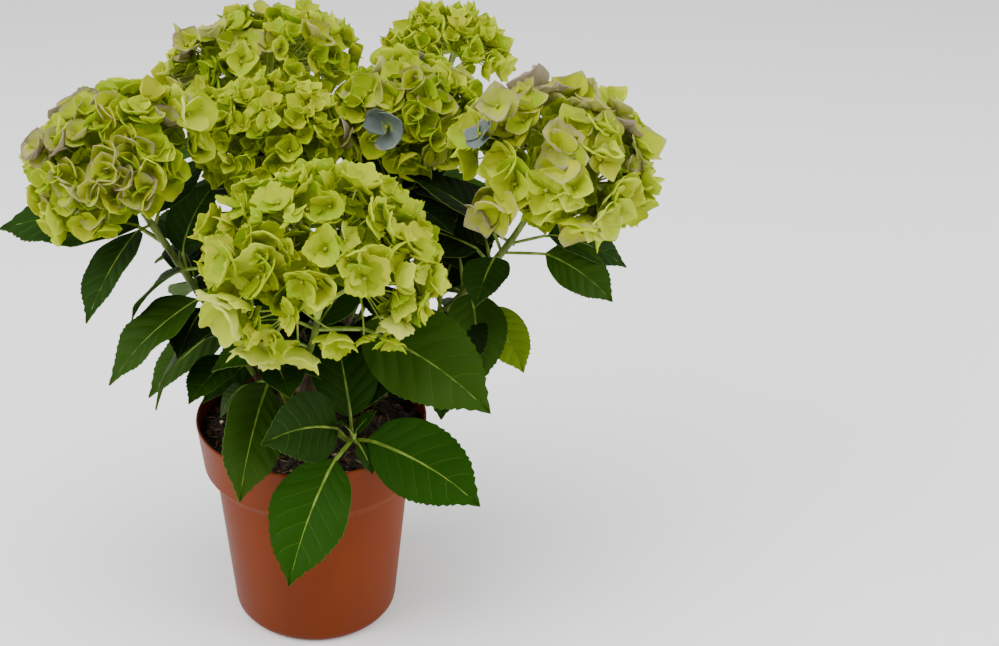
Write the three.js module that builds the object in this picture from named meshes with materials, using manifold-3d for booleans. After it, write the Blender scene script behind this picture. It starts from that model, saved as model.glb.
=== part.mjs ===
// A potted mophead hydrangea: a nursery pot filled with soil, a short woody trunk,
// leafy shoots that fan out of it, and a domed flower head at the tip of each flowering shoot.
// Millimetres, +Z up. The origin is the centre of the pot's flat underside; the plant's front faces -Y.
import * as THREE from "three";
import { mergeVertices } from "three/addons/utils/BufferGeometryUtils.js";
import Module from "manifold-3d";

const wasm = await Module();
wasm.setup();

// ---------------------------------------------------------------- driving dimensions

const GAP = 0.35; // clearance between two pieces that meet
const LEAF_GAP = 0.45; // least clearance from a leaf to any other piece
const BLOOM_GAP = 1.2; // least clearance from a floret to any other piece
const SEARCH = 2; // how far off a neighbour is looked for, above every clearance
const LEAF_DETAIL = 0.12; // how far a fused surface may move as its slivers are cleared
const BLOOM_DETAIL = 0.6;
const DEGREE = Math.PI / 180;
const GOLDEN_ANGLE = Math.PI * (3 - Math.sqrt(5));

const POT = {
  height: 136,
  rimRadius: 70,
  collarRadius: 66.5, // foot of the stacking collar
  collarHeight: 31,
  shoulderRadius: 59.5, // wall just under the collar
  shoulderHeight: 7,
  footRadius: 51.5,
  footRound: 7,
  wall: 1.6,
  floor: 2.5,
  sides: 36,
};
const DRAIN = { count: 6, radius: 4.5, circle: 38 };
const SOIL = { belowRim: 9, bump: 2.2, calm: 14, rings: 4 };

const TRUNK = {
  radius: 7,
  flare: 3.5, // extra radius at the ground
  headRadius: 8.5,
  headZ: 156, // centre of the swollen head that the shoots leave
  lean: [1.5, -1.0],
  sides: 10,
  rings: 7,
};

const BOUGH = {
  sides: 6,
  rings: 4,
  taper: 0.8,
  share: 0.3, // share of the shoot below its leaves
  furthest: 14, // how far off the trunk a shoot may start
};
const STEM = { sides: 5, rings: 6, taper: 0.8 };
const PETIOLE = {
  sides: 3,
  radius: 1.25,
  tipRadius: 0.95,
  length: 0.2, // over the blade's length
  lift: 22, // degrees that it rises above the blade's base
  inside: 0.09, // share of the midrib that it reaches into the blade
};
const LEAF = {
  widthShare: 0.6, // width over length
  thickness: 1.0,
  stations: 5,
  fold: 0.16, // how far the margins stand above the midrib, over half width
  droop: 34, // degrees that the midrib bends down from base to tip
  lifts: [0, 4, -4, 8, -8, 14, -14, 20, -20], // degrees tried in turn where a leaf would touch a neighbour
};
const FLORET = {
  petals: 4,
  notch: 0.6, // reach between two petals, over the reach at their tips
  cup: 0.22, // rise of the petals' tips over their reach
  root: 0.3, // share of the dome's radius where the stalk ends, inside the core
  sizes: [0.8, 1.08], // least and greatest size of a floret, over the head's own
  inset: 0.07, // greatest depth that a floret sits below the dome
  wander: 0.3, // radians that its place strays round the axis
};
const HEAD = {
  core: 0.68, // the core's half sizes over the head's
  lowest: 114, // degrees from the dome's axis to its lowest florets
  stalk: 0.74, // depth of the stalk's foot below the centre, over the half height
};

// Where a shoot leaves the trunk: on the round head, on its flank or near the ground.
const TIERS = {
  head: { z: TRUNK.headZ, radius: 2.6 },
  flank: { z: 148, radius: 2.8 },
  foot: { z: 136, radius: 2.2 },
};

// The shoots. root: tier, azimuth and rise of its first stretch, in degrees. Azimuth 0 is +X and -90
// the front.
// head: centre, the axis that the dome faces, its half sizes [side, depth, height], and how many florets
// it has and their radius.
// leaves: each with its share of the way up the shoot, the azimuth and rise of its blade at the base,
// the blade's length and, where it isn't level, the degrees that its right margin is turned down.
const SHOOTS = [
  {
    name: "left",
    root: { tier: "flank", azimuth: 184, rise: 42 },
    head: {
      centre: [-104, -20, 304],
      axis: [-0.42, -0.25, 0.87],
      half: [52, 48, 45],
      florets: 23,
      floret: 13,
    },
    leaves: [
      [0.84, 163, 10, 90, -20], [0.84, -20, 10, 40],
      [0.94, -122, -18, 62, 20], [0.92, 55, 40, 46],
      [0.6, 170, -14, 62], [0.6, -13, 0, 40],
    ],
  },
  {
    name: "right",
    root: { tier: "flank", azimuth: -12, rise: 42 },
    head: {
      centre: [133, -42, 308],
      axis: [0.32, -0.32, 0.89],
      half: [55, 50, 48],
      florets: 24,
      floret: 15,
    },
    leaves: [
      [0.82, -28, -4, 54, 40], [0.82, 164, 20, 40],
      [0.86, 24, 14, 50], [0.8, -112, 0, 42],
      [0.62, -78, -30, 62], [0.62, 98, 20, 50],
    ],
  },
  {
    name: "front",
    root: { tier: "flank", azimuth: -118, rise: 58 },
    head: {
      centre: [6, -78, 268],
      axis: [0.03, -0.46, 0.88],
      half: [65, 54, 57],
      florets: 26,
      floret: 17.5,
    },
    leaves: [
      [0.88, -26, -8, 94, 42], [0.88, 160, -3, 60],
      [0.68, -150, -6, 60], [0.68, 53, 13, 50],
    ],
  },
  {
    name: "middle",
    root: { tier: "head", azimuth: 215, rise: 66 },
    head: {
      centre: [-17, 8, 309],
      axis: [-0.1, -0.25, 0.96],
      half: [43, 39, 34],
      florets: 20,
      floret: 11,
    },
    leaves: [
      [0.86, 170, 10, 56], [0.86, -10, 10, 50],
      [0.62, 110, 14, 62], [0.62, -80, 0, 46],
    ],
  },
  {
    name: "middle_right",
    root: { tier: "head", azimuth: -24, rise: 62 },
    head: {
      centre: [61, 24, 313],
      axis: [0.12, -0.2, 0.97],
      half: [41, 38, 35],
      florets: 20,
      floret: 12,
    },
    leaves: [
      [0.84, -28, 4, 60], [0.84, 152, 10, 50],
      [0.62, 24, 54, 66], [0.62, 200, 6, 50],
    ],
  },
  {
    name: "back_left",
    root: { tier: "head", azimuth: 112, rise: 56 },
    head: {
      centre: [-25, 92, 322],
      axis: [-0.15, 0.05, 0.98],
      half: [60, 48, 40],
      florets: 24,
      floret: 13.5,
    },
    leaves: [
      [0.86, 182, 4, 72], [0.86, 2, 8, 62],
      [0.7, 100, -2, 78], [0.7, 250, 13, 50],
      [0.54, 172, -4, 76], [0.54, 0, 13, 56],
    ],
  },
  {
    name: "back_right",
    root: { tier: "head", azimuth: 42, rise: 54 },
    head: {
      centre: [90, 104, 323],
      axis: [0.12, 0.1, 0.98],
      half: [39, 37, 30],
      florets: 18,
      floret: 10,
    },
    leaves: [
      [0.88, 30, 6, 66], [0.88, 206, 16, 60],
      [0.7, 116, -6, 74], [0.7, -50, 6, 60],
      [0.52, 20, -6, 76], [0.55, 190, 24, 50],
    ],
  },
  {
    name: "side_left",
    root: { tier: "foot", azimuth: 176, rise: 40 },
    tip: [-53, -27, 250],
    leaves: [
      [0.98, 196, -26, 50], [0.98, 10, 4, 40],
      [0.82, -157, -20, 70], [0.82, 60, 20, 44],
      [0.68, -154, -28, 52], [0.68, 100, 14, 50],
    ],
  },
  {
    name: "side_right",
    root: { tier: "foot", azimuth: 12, rise: 40 },
    tip: [98, -2, 212],
    leaves: [
      [0.96, -6, -34, 50, 50], [0.96, 166, 30, 40],
      [0.78, 62, -10, 68], [0.78, -100, -30, 50],
    ],
  },
  {
    name: "front_left_low",
    root: { tier: "foot", azimuth: -140, rise: 52 },
    tip: [-20, -32, 186],
    leaves: [
      [0.96, -110, -22, 76, -10], [0.96, 40, 30, 44],
      [0.84, -166, -30, 30], [0.84, 35, 16, 30],
    ],
  },
  {
    name: "front_low",
    root: { tier: "foot", azimuth: -64, rise: 22 },
    tip: [24, -54, 150],
    leaves: [
      [1, 24, 56, 18], [1, 204, 62, 16],
      [0.94, -123, -36, 80, -12], [0.94, 100, 54, 66],
      [0.9, -22, -14, 78, 50], [0.78, 171, 34, 48, -45],
    ],
  },
  {
    name: "back_low_left",
    root: { tier: "foot", azimuth: 128, rise: 34 },
    tip: [-40, 60, 196],
    leaves: [
      [1, 20, 56, 20], [1, 200, 56, 20],
      [0.94, 126, -14, 78], [0.94, -50, 10, 38],
      [0.74, 206, -16, 72], [0.74, 36, 0, 60],
    ],
  },
  {
    name: "back_low_right",
    root: { tier: "foot", azimuth: 62, rise: 34 },
    tip: [40, 62, 192],
    leaves: [
      [1, 130, 56, 20], [1, 310, 56, 20],
      [0.94, 60, -14, 78], [0.94, 236, 10, 38],
      [0.74, 150, -26, 70], [0.74, -26, -16, 70],
    ],
  },
];

const LOOKS = {
  pot: { color: 0xa85f3e, roughness: 0.62 },
  soil: { color: 0x2a2019, roughness: 0.98 },
  wood: { color: 0x7d6a4c, roughness: 0.85 },
  stem: { color: 0x6f8f3a, roughness: 0.6 },
  leaf: { color: 0x2c5a20, roughness: 0.5 },
  bloom: { color: 0xb9c93f, roughness: 0.6 },
};

// ---------------------------------------------------------------- numbers and curves

/** Repeatable random numbers from 0 to 1. */
function seeded(seed) {
  let state = seed >>> 0;
  return () => {
    state = (state + 0x6d2b79f5) >>> 0;
    let t = Math.imul(state ^ (state >>> 15), state | 1);
    t ^= t + Math.imul(t ^ (t >>> 7), t | 61);
    return ((t ^ (t >>> 14)) >>> 0) / 4294967296;
  };
}

/** Unit vector at an azimuth and a rise above the horizon, in degrees. */
function heading(azimuth, rise) {
  const flat = Math.cos(rise * DEGREE);
  return new THREE.Vector3(
    Math.cos(azimuth * DEGREE) * flat,
    Math.sin(azimuth * DEGREE) * flat,
    Math.sin(rise * DEGREE),
  );
}

/** The part of a curve between two shares of its length, as a curve. */
class Stretch extends THREE.Curve {
  constructor(whole, from, to) {
    super();
    Object.assign(this, { whole, from, to });
  }
  getPoint(t, target = new THREE.Vector3()) {
    const share = THREE.MathUtils.lerp(this.from, this.to, t);
    return target.copy(this.whole.getPointAt(THREE.MathUtils.clamp(share, 0, 1)));
  }
}

/** Where a blade's midrib runs: a plane curve that bends down evenly from base to tip. */
function midribPoint(leaf, t) {
  const steps = 24;
  const point = leaf.base.clone();
  for (let i = 0; i < steps * t - 1e-9; i++) {
    const pitch = leaf.rise - LEAF.droop * ((i + 0.5) / steps);
    point.addScaledVector(heading(leaf.azimuth, pitch), leaf.length / steps);
  }
  return point;
}

/** Half width of a blade at t, from base to tip, over its greatest half width. */
function outline(t) {
  return Math.sin(Math.PI * Math.pow(t, 0.88)) ** 0.8 * (1 - 0.35 * t ** 6);
}

// ---------------------------------------------------------------- solids

/** A manifold-3d solid from a closed three.js geometry. */
function solidOf(geometry) {
  const bare = geometry.clone();
  bare.deleteAttribute("normal");
  bare.deleteAttribute("uv");
  const merged = mergeVertices(bare, 1e-4);
  return new wasm.Manifold(
    new wasm.Mesh({
      numProp: 3,
      vertProperties: merged.attributes.position.array,
      triVerts: new Uint32Array(merged.index.array),
    }),
  );
}

/** The largest body of a solid, with its sealed hollows filled and its loose scraps dropped. */
function wholeBody(solid) {
  return solid.decompose().reduce((best, body) => (body.volume() > best.volume() ? body : best));
}

/** A three.js geometry from a solid. */
function geometryOf(solid) {
  const mesh = solid.getMesh();
  const positions = new Float32Array(mesh.numVert * 3);
  for (let i = 0; i < mesh.numVert; i++) {
    positions.set(mesh.vertProperties.subarray(i * mesh.numProp, i * mesh.numProp + 3), i * 3);
  }
  const geometry = new THREE.BufferGeometry();
  geometry.setAttribute("position", new THREE.BufferAttribute(positions, 3));
  geometry.setIndex(new THREE.BufferAttribute(mesh.triVerts, 1));
  geometry.computeVertexNormals();
  return geometry;
}

/** Moves every vertex of a geometry to the place that a function gives for it. */
function reshape(geometry, place) {
  const position = geometry.attributes.position;
  const point = new THREE.Vector3();
  for (let i = 0; i < position.count; i++) {
    place(point.fromBufferAttribute(position, i));
    position.setXYZ(i, point.x, point.y, point.z);
  }
  return geometry;
}

/** A closed shape turned about +Z from a profile of [radius, z] points. */
function turned(profile, sides) {
  const points = profile.map(([radius, z]) => new THREE.Vector2(radius, z));
  return new THREE.LatheGeometry(points, sides).rotateX(Math.PI / 2);
}

/** A closed round limb along a curve, whose radius is a function of the share of the way. */
function limb(curve, radiusAt, sides, rings) {
  const geometry = new THREE.CylinderGeometry(1, 1, 1, sides, rings);
  const chord = curve.getPoint(1).sub(curve.getPoint(0)).normalize();
  const reference = Math.abs(chord.z) > 0.8 ? new THREE.Vector3(1, 0, 0) : new THREE.Vector3(0, 0, 1);
  return reshape(geometry, (point) => {
    const t = point.y + 0.5;
    const along = curve.getTangent(t);
    const side = new THREE.Vector3().crossVectors(along, reference).normalize();
    const other = new THREE.Vector3().crossVectors(side, along);
    const radius = radiusAt(t);
    const { x, z } = point;
    point.copy(curve.getPoint(t));
    point.addScaledVector(side, x * radius).addScaledVector(other, z * radius);
  });
}

// ---------------------------------------------------------------- pot, soil and trunk

/** The pot's outer radius at a height. */
function potRadius(z) {
  const collarFoot = POT.height - POT.collarHeight;
  const shoulder = collarFoot - POT.shoulderHeight;
  if (z > collarFoot) {
    return THREE.MathUtils.mapLinear(z, collarFoot, POT.height, POT.collarRadius, POT.rimRadius);
  }
  if (z > shoulder) {
    return THREE.MathUtils.mapLinear(z, shoulder, collarFoot, POT.shoulderRadius, POT.collarRadius);
  }
  return THREE.MathUtils.mapLinear(z, 0, shoulder, POT.footRadius, POT.shoulderRadius);
}

function makePot() {
  const collarFoot = POT.height - POT.collarHeight;
  const levels = [collarFoot - POT.shoulderHeight, collarFoot, POT.height];
  const outer = levels.map((z) => [potRadius(z), z]);
  const inner = levels.map((z) => [potRadius(z) - POT.wall, z]).reverse();
  const foot = [0, 90].map((turn) => [
    POT.footRadius - POT.footRound * (1 - Math.sin(turn * DEGREE)),
    POT.footRound * (1 - Math.cos(turn * DEGREE)),
  ]);
  const innerFoot = [
    [potRadius(POT.footRound) - POT.wall, POT.footRound + POT.floor],
    [POT.footRadius - POT.footRound - POT.wall, POT.floor],
  ];
  let pot = solidOf(turned([[0, 0], ...foot, ...outer, ...inner, ...innerFoot, [0, POT.floor]], POT.sides));
  for (let i = 0; i < DRAIN.count; i++) {
    const hole = new THREE.CylinderGeometry(DRAIN.radius, DRAIN.radius, 4 * POT.floor, 6);
    hole.rotateX(Math.PI / 2);
    const turn = ((i + 0.5) / DRAIN.count) * 2 * Math.PI;
    hole.translate(Math.cos(turn) * DRAIN.circle, Math.sin(turn) * DRAIN.circle, 0);
    pot = pot.subtract(solidOf(hole));
  }
  return pot;
}

/** Height of the soil's crumbly surface at a place, level round the trunk. */
function soilZ(x, y) {
  const rough = Math.sin(x * 0.21 + 1.3) * Math.cos(y * 0.17 - 0.4) + 0.5 * Math.sin((x + y) * 0.31);
  const calm = THREE.MathUtils.smoothstep(Math.hypot(x, y), SOIL.calm, 2 * SOIL.calm);
  return POT.height - SOIL.belowRim + SOIL.bump * rough * calm;
}

function makeSoil() {
  const shrink = POT.wall + GAP;
  const floor = POT.floor + GAP;
  const collarFoot = POT.height - POT.collarHeight;
  const top = POT.height - SOIL.belowRim;
  const profile = [
    [0, floor],
    [POT.footRadius - POT.footRound - shrink - GAP, floor],
    [potRadius(POT.footRound) - shrink - GAP, POT.footRound + POT.floor + GAP],
    [potRadius(collarFoot - POT.shoulderHeight) - shrink, collarFoot - POT.shoulderHeight - GAP],
    [potRadius(collarFoot) - shrink - GAP, collarFoot],
  ];
  const edge = potRadius(top - SOIL.bump) - shrink - GAP;
  for (let ring = SOIL.rings; ring >= 0; ring--) profile.push([(edge * ring) / SOIL.rings, top]);
  const soil = reshape(turned(profile, POT.sides), (point) => {
    if (point.z > top - 1e-3) point.z = soilZ(point.x, point.y);
  });
  return solidOf(soil);
}

/** The trunk's centre line at a height. */
function trunkCentre(z) {
  const ground = POT.height - SOIL.belowRim;
  const t = (z - ground) / (TRUNK.headZ - ground);
  return new THREE.Vector3(TRUNK.lean[0] * t * t, TRUNK.lean[1] * t * t, z);
}

/** The trunk's radius at a height: flared at the ground, with a round head. */
function trunkRadius(z) {
  const ground = POT.height - SOIL.belowRim;
  const up = (z - ground) / (TRUNK.headZ - ground);
  if (up > 1) return Math.sqrt(Math.max(TRUNK.headRadius ** 2 - (z - TRUNK.headZ) ** 2, 0.6));
  const swell = THREE.MathUtils.smoothstep(up, 0.55, 1) * (TRUNK.headRadius - TRUNK.radius);
  return TRUNK.radius + swell + TRUNK.flare * Math.exp(-up * 7);
}

function makeTrunk() {
  const ground = POT.height - SOIL.belowRim + GAP;
  const top = TRUNK.headZ + TRUNK.headRadius * 0.995;
  const geometry = new THREE.CylinderGeometry(1, 1, 1, TRUNK.sides, TRUNK.rings);
  return solidOf(
    reshape(geometry, (point) => {
      const z = ground + (top - ground) * Math.sin(((point.y + 0.5) * Math.PI) / 2);
      const radius = trunkRadius(z);
      const centre = trunkCentre(z);
      point.set(centre.x + point.x * radius, centre.y - point.z * radius, z);
    }),
  );
}

// ---------------------------------------------------------------- shoots

/** The frame of a flower head: centre, side, depth and dome axis. */
function headFrame(head) {
  const axis = new THREE.Vector3(...head.axis).normalize();
  const side = new THREE.Vector3(0, 1, 0).cross(axis).normalize();
  const depth = new THREE.Vector3().crossVectors(axis, side);
  return { centre: new THREE.Vector3(...head.centre), side, depth, axis };
}

/** The centre line of a shoot, from a little way off the trunk's surface to its tip. */
function shootRoute(shoot, away) {
  const tier = TIERS[shoot.root.tier];
  const start = heading(shoot.root.azimuth, shoot.root.rise);
  const centre = trunkCentre(tier.z);
  const from = centre.clone();
  if (shoot.root.tier === "head") {
    from.addScaledVector(start, TRUNK.headRadius + away);
  } else {
    from.addScaledVector(heading(shoot.root.azimuth, 0), trunkRadius(tier.z) + away);
  }
  let tip;
  let arrive;
  if (shoot.head) {
    const frame = headFrame(shoot.head);
    arrive = frame.axis;
    tip = frame.centre.clone().addScaledVector(arrive, -shoot.head.half[2] * HEAD.stalk);
  } else {
    tip = new THREE.Vector3(...shoot.tip);
    arrive = tip.clone().sub(from).normalize().add(new THREE.Vector3(0, 0, 0.6)).normalize();
  }
  const reach = tip.distanceTo(from) * 0.36;
  return new THREE.CubicBezierCurve3(
    from,
    from.clone().addScaledVector(start, reach),
    tip.clone().addScaledVector(arrive, -reach),
    tip,
  );
}

/** Every leaf of a shoot: where it grows, which way its blade points and how long it is. */
function leavesOf(shoot, route) {
  return shoot.leaves.map(([at, azimuth, rise, length, roll = 0]) => {
    const node = route.getPointAt(at);
    const base = node.clone().addScaledVector(heading(azimuth, rise + PETIOLE.lift), length * PETIOLE.length);
    return { at, node, base, azimuth, rise, length, roll };
  });
}

/** A leaf as one solid: a lens-shaped blade, folded along its midrib, on a three-sided stalk. */
function makeLeaf(leaf) {
  const halfWidth = (leaf.length * LEAF.widthShare) / 2;
  const level = heading(leaf.azimuth - 90, 0);
  const roll = leaf.roll * DEGREE;
  const blade = reshape(new THREE.SphereGeometry(1, 4, LEAF.stations), (point) => {
    const t = 1 - Math.acos(THREE.MathUtils.clamp(point.y, -1, 1)) / Math.PI;
    const ring = Math.hypot(point.x, point.z);
    const left = ring > 1e-6 ? point.x / ring : 0;
    const upper = ring > 1e-6 ? point.z / ring : 0;
    const width = ring > 1e-6 ? halfWidth * outline(t) : 0;
    const upright = heading(leaf.azimuth, leaf.rise - LEAF.droop * t + 90);
    const across = level.clone().multiplyScalar(Math.cos(roll)).addScaledVector(upright, -Math.sin(roll));
    const normal = upright.multiplyScalar(Math.cos(roll)).addScaledVector(level, Math.sin(roll));
    point.copy(midribPoint(leaf, t));
    point.addScaledVector(across, left * width);
    point.addScaledVector(normal, Math.abs(left) * width * LEAF.fold + (upper * LEAF.thickness) / 2);
  });
  const inside = midribPoint(leaf, PETIOLE.inside);
  const stalkLine = new THREE.QuadraticBezierCurve3(leaf.node, leaf.base, inside);
  const stalkRadius = (t) => THREE.MathUtils.lerp(PETIOLE.radius, PETIOLE.tipRadius, t);
  const stalk = limb(stalkLine, stalkRadius, PETIOLE.sides, 1);
  return solidOf(blade).add(solidOf(stalk));
}

/** The florets of a head, spread evenly over its dome by the golden angle. */
function floretsOf(head, seed) {
  const { centre, side, depth, axis } = headFrame(head);
  const [halfSide, halfDepth, height] = head.half;
  const random = seeded(seed);
  const lowest = Math.cos(HEAD.lowest * DEGREE);
  return Array.from({ length: head.florets }, (_, i) => {
    const up = 1 - ((i + 0.5) / head.florets) * (1 - lowest);
    const ring = Math.sqrt(1 - up * up);
    const turn = i * GOLDEN_ANGLE + random() * FLORET.wander;
    const across = ring * Math.cos(turn);
    const away = ring * Math.sin(turn);
    const along = (x, y, z) =>
      new THREE.Vector3().addScaledVector(side, x).addScaledVector(depth, y).addScaledVector(axis, z);
    const offset = along(halfSide * across, halfDepth * away, height * up);
    const outward = along(across / halfSide, away / halfDepth, up / height).normalize();
    const radius = head.floret * THREE.MathUtils.lerp(...FLORET.sizes, random());
    const reach = 1 - FLORET.inset * random() - (FLORET.cup * radius) / offset.length();
    return {
      centre: centre.clone().addScaledVector(offset, reach),
      root: centre.clone().addScaledVector(offset, FLORET.root),
      outward,
      radius,
      spin: random() * Math.PI,
    };
  });
}

/** A floret as one solid: a cupped four-pointed star that narrows to its foot in the core. */
function makeFloret({ centre, root, outward, radius, spin }) {
  const points = FLORET.petals * 2;
  const profile = [
    [0, -centre.distanceTo(root)],
    [radius, 0],
    [0, 0],
  ];
  const turn = new THREE.Quaternion().setFromUnitVectors(new THREE.Vector3(0, 0, 1), outward);
  const star = reshape(turned(profile, points), (point) => {
    if (Math.hypot(point.x, point.y) > radius / 2) {
      const angle = Math.atan2(point.y, point.x);
      const reach = Math.cos((angle * points) / 2) > 0 ? radius : radius * FLORET.notch;
      point.set(Math.cos(angle + spin) * reach, Math.sin(angle + spin) * reach, reach * FLORET.cup);
    }
    point.applyQuaternion(turn).add(centre);
  });
  return solidOf(star);
}

/** The small solid heart of a flower head, which its florets stand out of. */
function makeCore(head) {
  const frame = headFrame(head);
  const basis = new THREE.Matrix4().makeBasis(frame.side, frame.depth, frame.axis).setPosition(frame.centre);
  const [side, depth, height] = head.half.map((half) => half * HEAD.core);
  return solidOf(new THREE.IcosahedronGeometry(1, 1).scale(side, depth, height).applyMatrix4(basis));
}

// ---------------------------------------------------------------- putting the plant together

const plant = new THREE.Group();
const standing = new Map(); // name to solid, of all that has been built

/** Whether a solid comes closer than the clearance to a piece that stands, other than its own. */
function touches(solid, clearance, own) {
  return [...standing].some(([name, other]) => name !== own && solid.minGap(other, SEARCH) < clearance);
}

/** Adds a solid to the plant as a named piece. */
function stand(name, solid, look) {
  const body = wholeBody(solid);
  standing.set(name, body);
  const material = new THREE.MeshStandardMaterial({ metalness: 0, ...LOOKS[look] });
  const mesh = new THREE.Mesh(geometryOf(body), material);
  mesh.name = name;
  plant.add(mesh);
}

/** A shoot's route, bough and leaf-bearing stem, starting a set way off the trunk. */
function limbsOf(shoot, away) {
  const { radius } = TIERS[shoot.root.tier];
  const thin = radius * BOUGH.taper;
  const route = shootRoute(shoot, away);
  const split = GAP / route.getLength();
  const lower = new Stretch(route, 0, BOUGH.share - split);
  const upper = new Stretch(route, BOUGH.share, shoot.head ? 1 - 2 * split : 1);
  const bough = limb(lower, (t) => THREE.MathUtils.lerp(radius, thin, t), BOUGH.sides, BOUGH.rings);
  const stem = limb(upper, (t) => thin * THREE.MathUtils.lerp(1, STEM.taper, t), STEM.sides, STEM.rings);
  return { route, bough: solidOf(bough), stem: solidOf(stem) };
}

/** Grows a shoot's limbs, starting as near to the trunk as the trunk and the shoots before it allow. */
function growLimbs(shoot) {
  for (let away = GAP; away < BOUGH.furthest; away += GAP) {
    const limbs = limbsOf(shoot, away);
    if (!touches(limbs.bough, GAP) && !touches(limbs.stem, GAP)) return limbs;
  }
  throw new Error(`shoot ${shoot.name} has no room at the trunk`);
}

/** A flower head: the core on its stalk, with every floret that keeps clear of the rest of the plant. */
function makeBloom(shoot, seed) {
  const frame = headFrame(shoot.head);
  const neck = frame.centre.clone().addScaledVector(frame.axis, -shoot.head.half[2] * HEAD.stalk);
  const radius = TIERS[shoot.root.tier].radius * BOUGH.taper * STEM.taper;
  let bloom = solidOf(limb(new THREE.LineCurve3(neck, frame.centre), () => radius, STEM.sides, 1));
  bloom = bloom.add(makeCore(shoot.head));
  for (const floret of floretsOf(shoot.head, seed)) {
    const piece = makeFloret(floret);
    if (!touches(piece, BLOOM_GAP)) bloom = bloom.add(piece);
  }
  return bloom.simplify(BLOOM_DETAIL);
}

/** A leafy stem. A leaf that would touch another piece is raised or lowered, or else left out. */
function makeFoliage(shoot, route, stem) {
  let mass = stem;
  for (const leaf of leavesOf(shoot, route)) {
    for (const lift of LEAF.lifts) {
      const piece = makeLeaf({ ...leaf, rise: leaf.rise + lift });
      if (touches(piece, LEAF_GAP, shoot.name)) continue;
      mass = mass.add(piece);
      break;
    }
  }
  return mass.simplify(LEAF_DETAIL);
}

stand("pot", makePot(), "pot");
stand("soil", makeSoil(), "soil");
stand("trunk", makeTrunk(), "wood");

const routes = new Map();
for (const shoot of SHOOTS) {
  const { route, bough, stem } = growLimbs(shoot);
  stand(`bough_${shoot.name}`, bough, "stem");
  standing.set(shoot.name, stem);
  routes.set(shoot, route);
}

SHOOTS.forEach((shoot, index) => {
  if (shoot.head) stand(`bloom_${shoot.name}`, makeBloom(shoot, index), "bloom");
});

for (const [shoot, route] of routes) {
  const mass = makeFoliage(shoot, route, standing.get(shoot.name));
  standing.delete(shoot.name);
  stand(`foliage_${shoot.name}`, mass, "leaf");
}

export default plant;
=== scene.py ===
import logging
import math
from dataclasses import dataclass, field
from enum import Enum, IntEnum
from typing import Callable, Sequence

import bmesh
import bpy
import numpy as np
from mathutils import Matrix, Vector
from mathutils.noise import noise


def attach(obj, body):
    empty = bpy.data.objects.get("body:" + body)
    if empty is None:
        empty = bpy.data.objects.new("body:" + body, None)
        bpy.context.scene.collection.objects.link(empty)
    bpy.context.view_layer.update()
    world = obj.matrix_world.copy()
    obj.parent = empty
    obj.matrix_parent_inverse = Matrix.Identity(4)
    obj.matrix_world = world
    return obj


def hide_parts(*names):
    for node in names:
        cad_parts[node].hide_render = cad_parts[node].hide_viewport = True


# A potted mophead hydrangea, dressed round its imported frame. The plant is laid out in millimetres,
# +Z up with its front towards -Y, and every mesh is written in metres.

LOG = logging.getLogger("hydrangea")
MM = 0.001
ROOT = "root"
MERGED_WITHIN = 1e-4
UP = np.array([0.0, 0.0, 1.0])
FULL_TURN = 2 * math.pi
GOLDEN_ANGLE = math.pi * (3 - math.sqrt(5))

Array = np.ndarray
Colour = tuple[int, int, int]
Triple = tuple[float, float, float]
Material = bpy.types.Material
Piece = bpy.types.Object
Socket = bpy.types.NodeSocket

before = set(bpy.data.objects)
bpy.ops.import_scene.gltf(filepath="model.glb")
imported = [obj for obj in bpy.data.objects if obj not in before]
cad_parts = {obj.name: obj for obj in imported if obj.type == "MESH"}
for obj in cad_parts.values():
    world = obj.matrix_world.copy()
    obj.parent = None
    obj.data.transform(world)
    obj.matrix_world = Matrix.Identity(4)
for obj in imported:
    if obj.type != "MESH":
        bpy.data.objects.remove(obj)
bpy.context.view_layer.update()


# ---------------------------------------------------------------- numbers and directions


def heading(azimuth: float | Array, rise: float | Array) -> Array:
    """Unit vectors at an azimuth and a rise above the horizon.

    Args:
        azimuth: degrees from +X towards +Y.
        rise: degrees above the horizon.

    Returns:
        An array whose last axis is x, y and z.
    """
    turn, tilt = np.broadcast_arrays(np.radians(azimuth), np.radians(rise))
    flat = np.cos(tilt)
    return np.stack([np.cos(turn) * flat, np.sin(turn) * flat, np.sin(tilt)], axis=-1)


def unit(vector: Array) -> Array:
    """Vectors along the last axis, each made one long."""
    return vector / np.maximum(np.linalg.norm(vector, axis=-1, keepdims=True), 1e-9)


def smooth_share(value: float | Array, low: float, high: float) -> Array:
    """A smooth step from 0 at low to 1 at high."""
    share = np.clip((np.asarray(value) - low) / (high - low), 0, 1)
    return share * share * (3 - 2 * share)


def linear(red: int, green: int, blue: int) -> tuple[float, ...]:
    """A display colour as the linear colour that a shader takes.

    Args:
        red: its red, from 0 to 255.
        green: its green.
        blue: its blue.

    Returns:
        Red, green, blue and alpha, from 0 to 1.
    """
    shares = [channel / 255 for channel in (red, green, blue)]
    light = [s / 12.92 if s <= 0.04045 else ((s + 0.055) / 1.055) ** 2.4 for s in shares]
    return (*light, 1.0)


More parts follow.
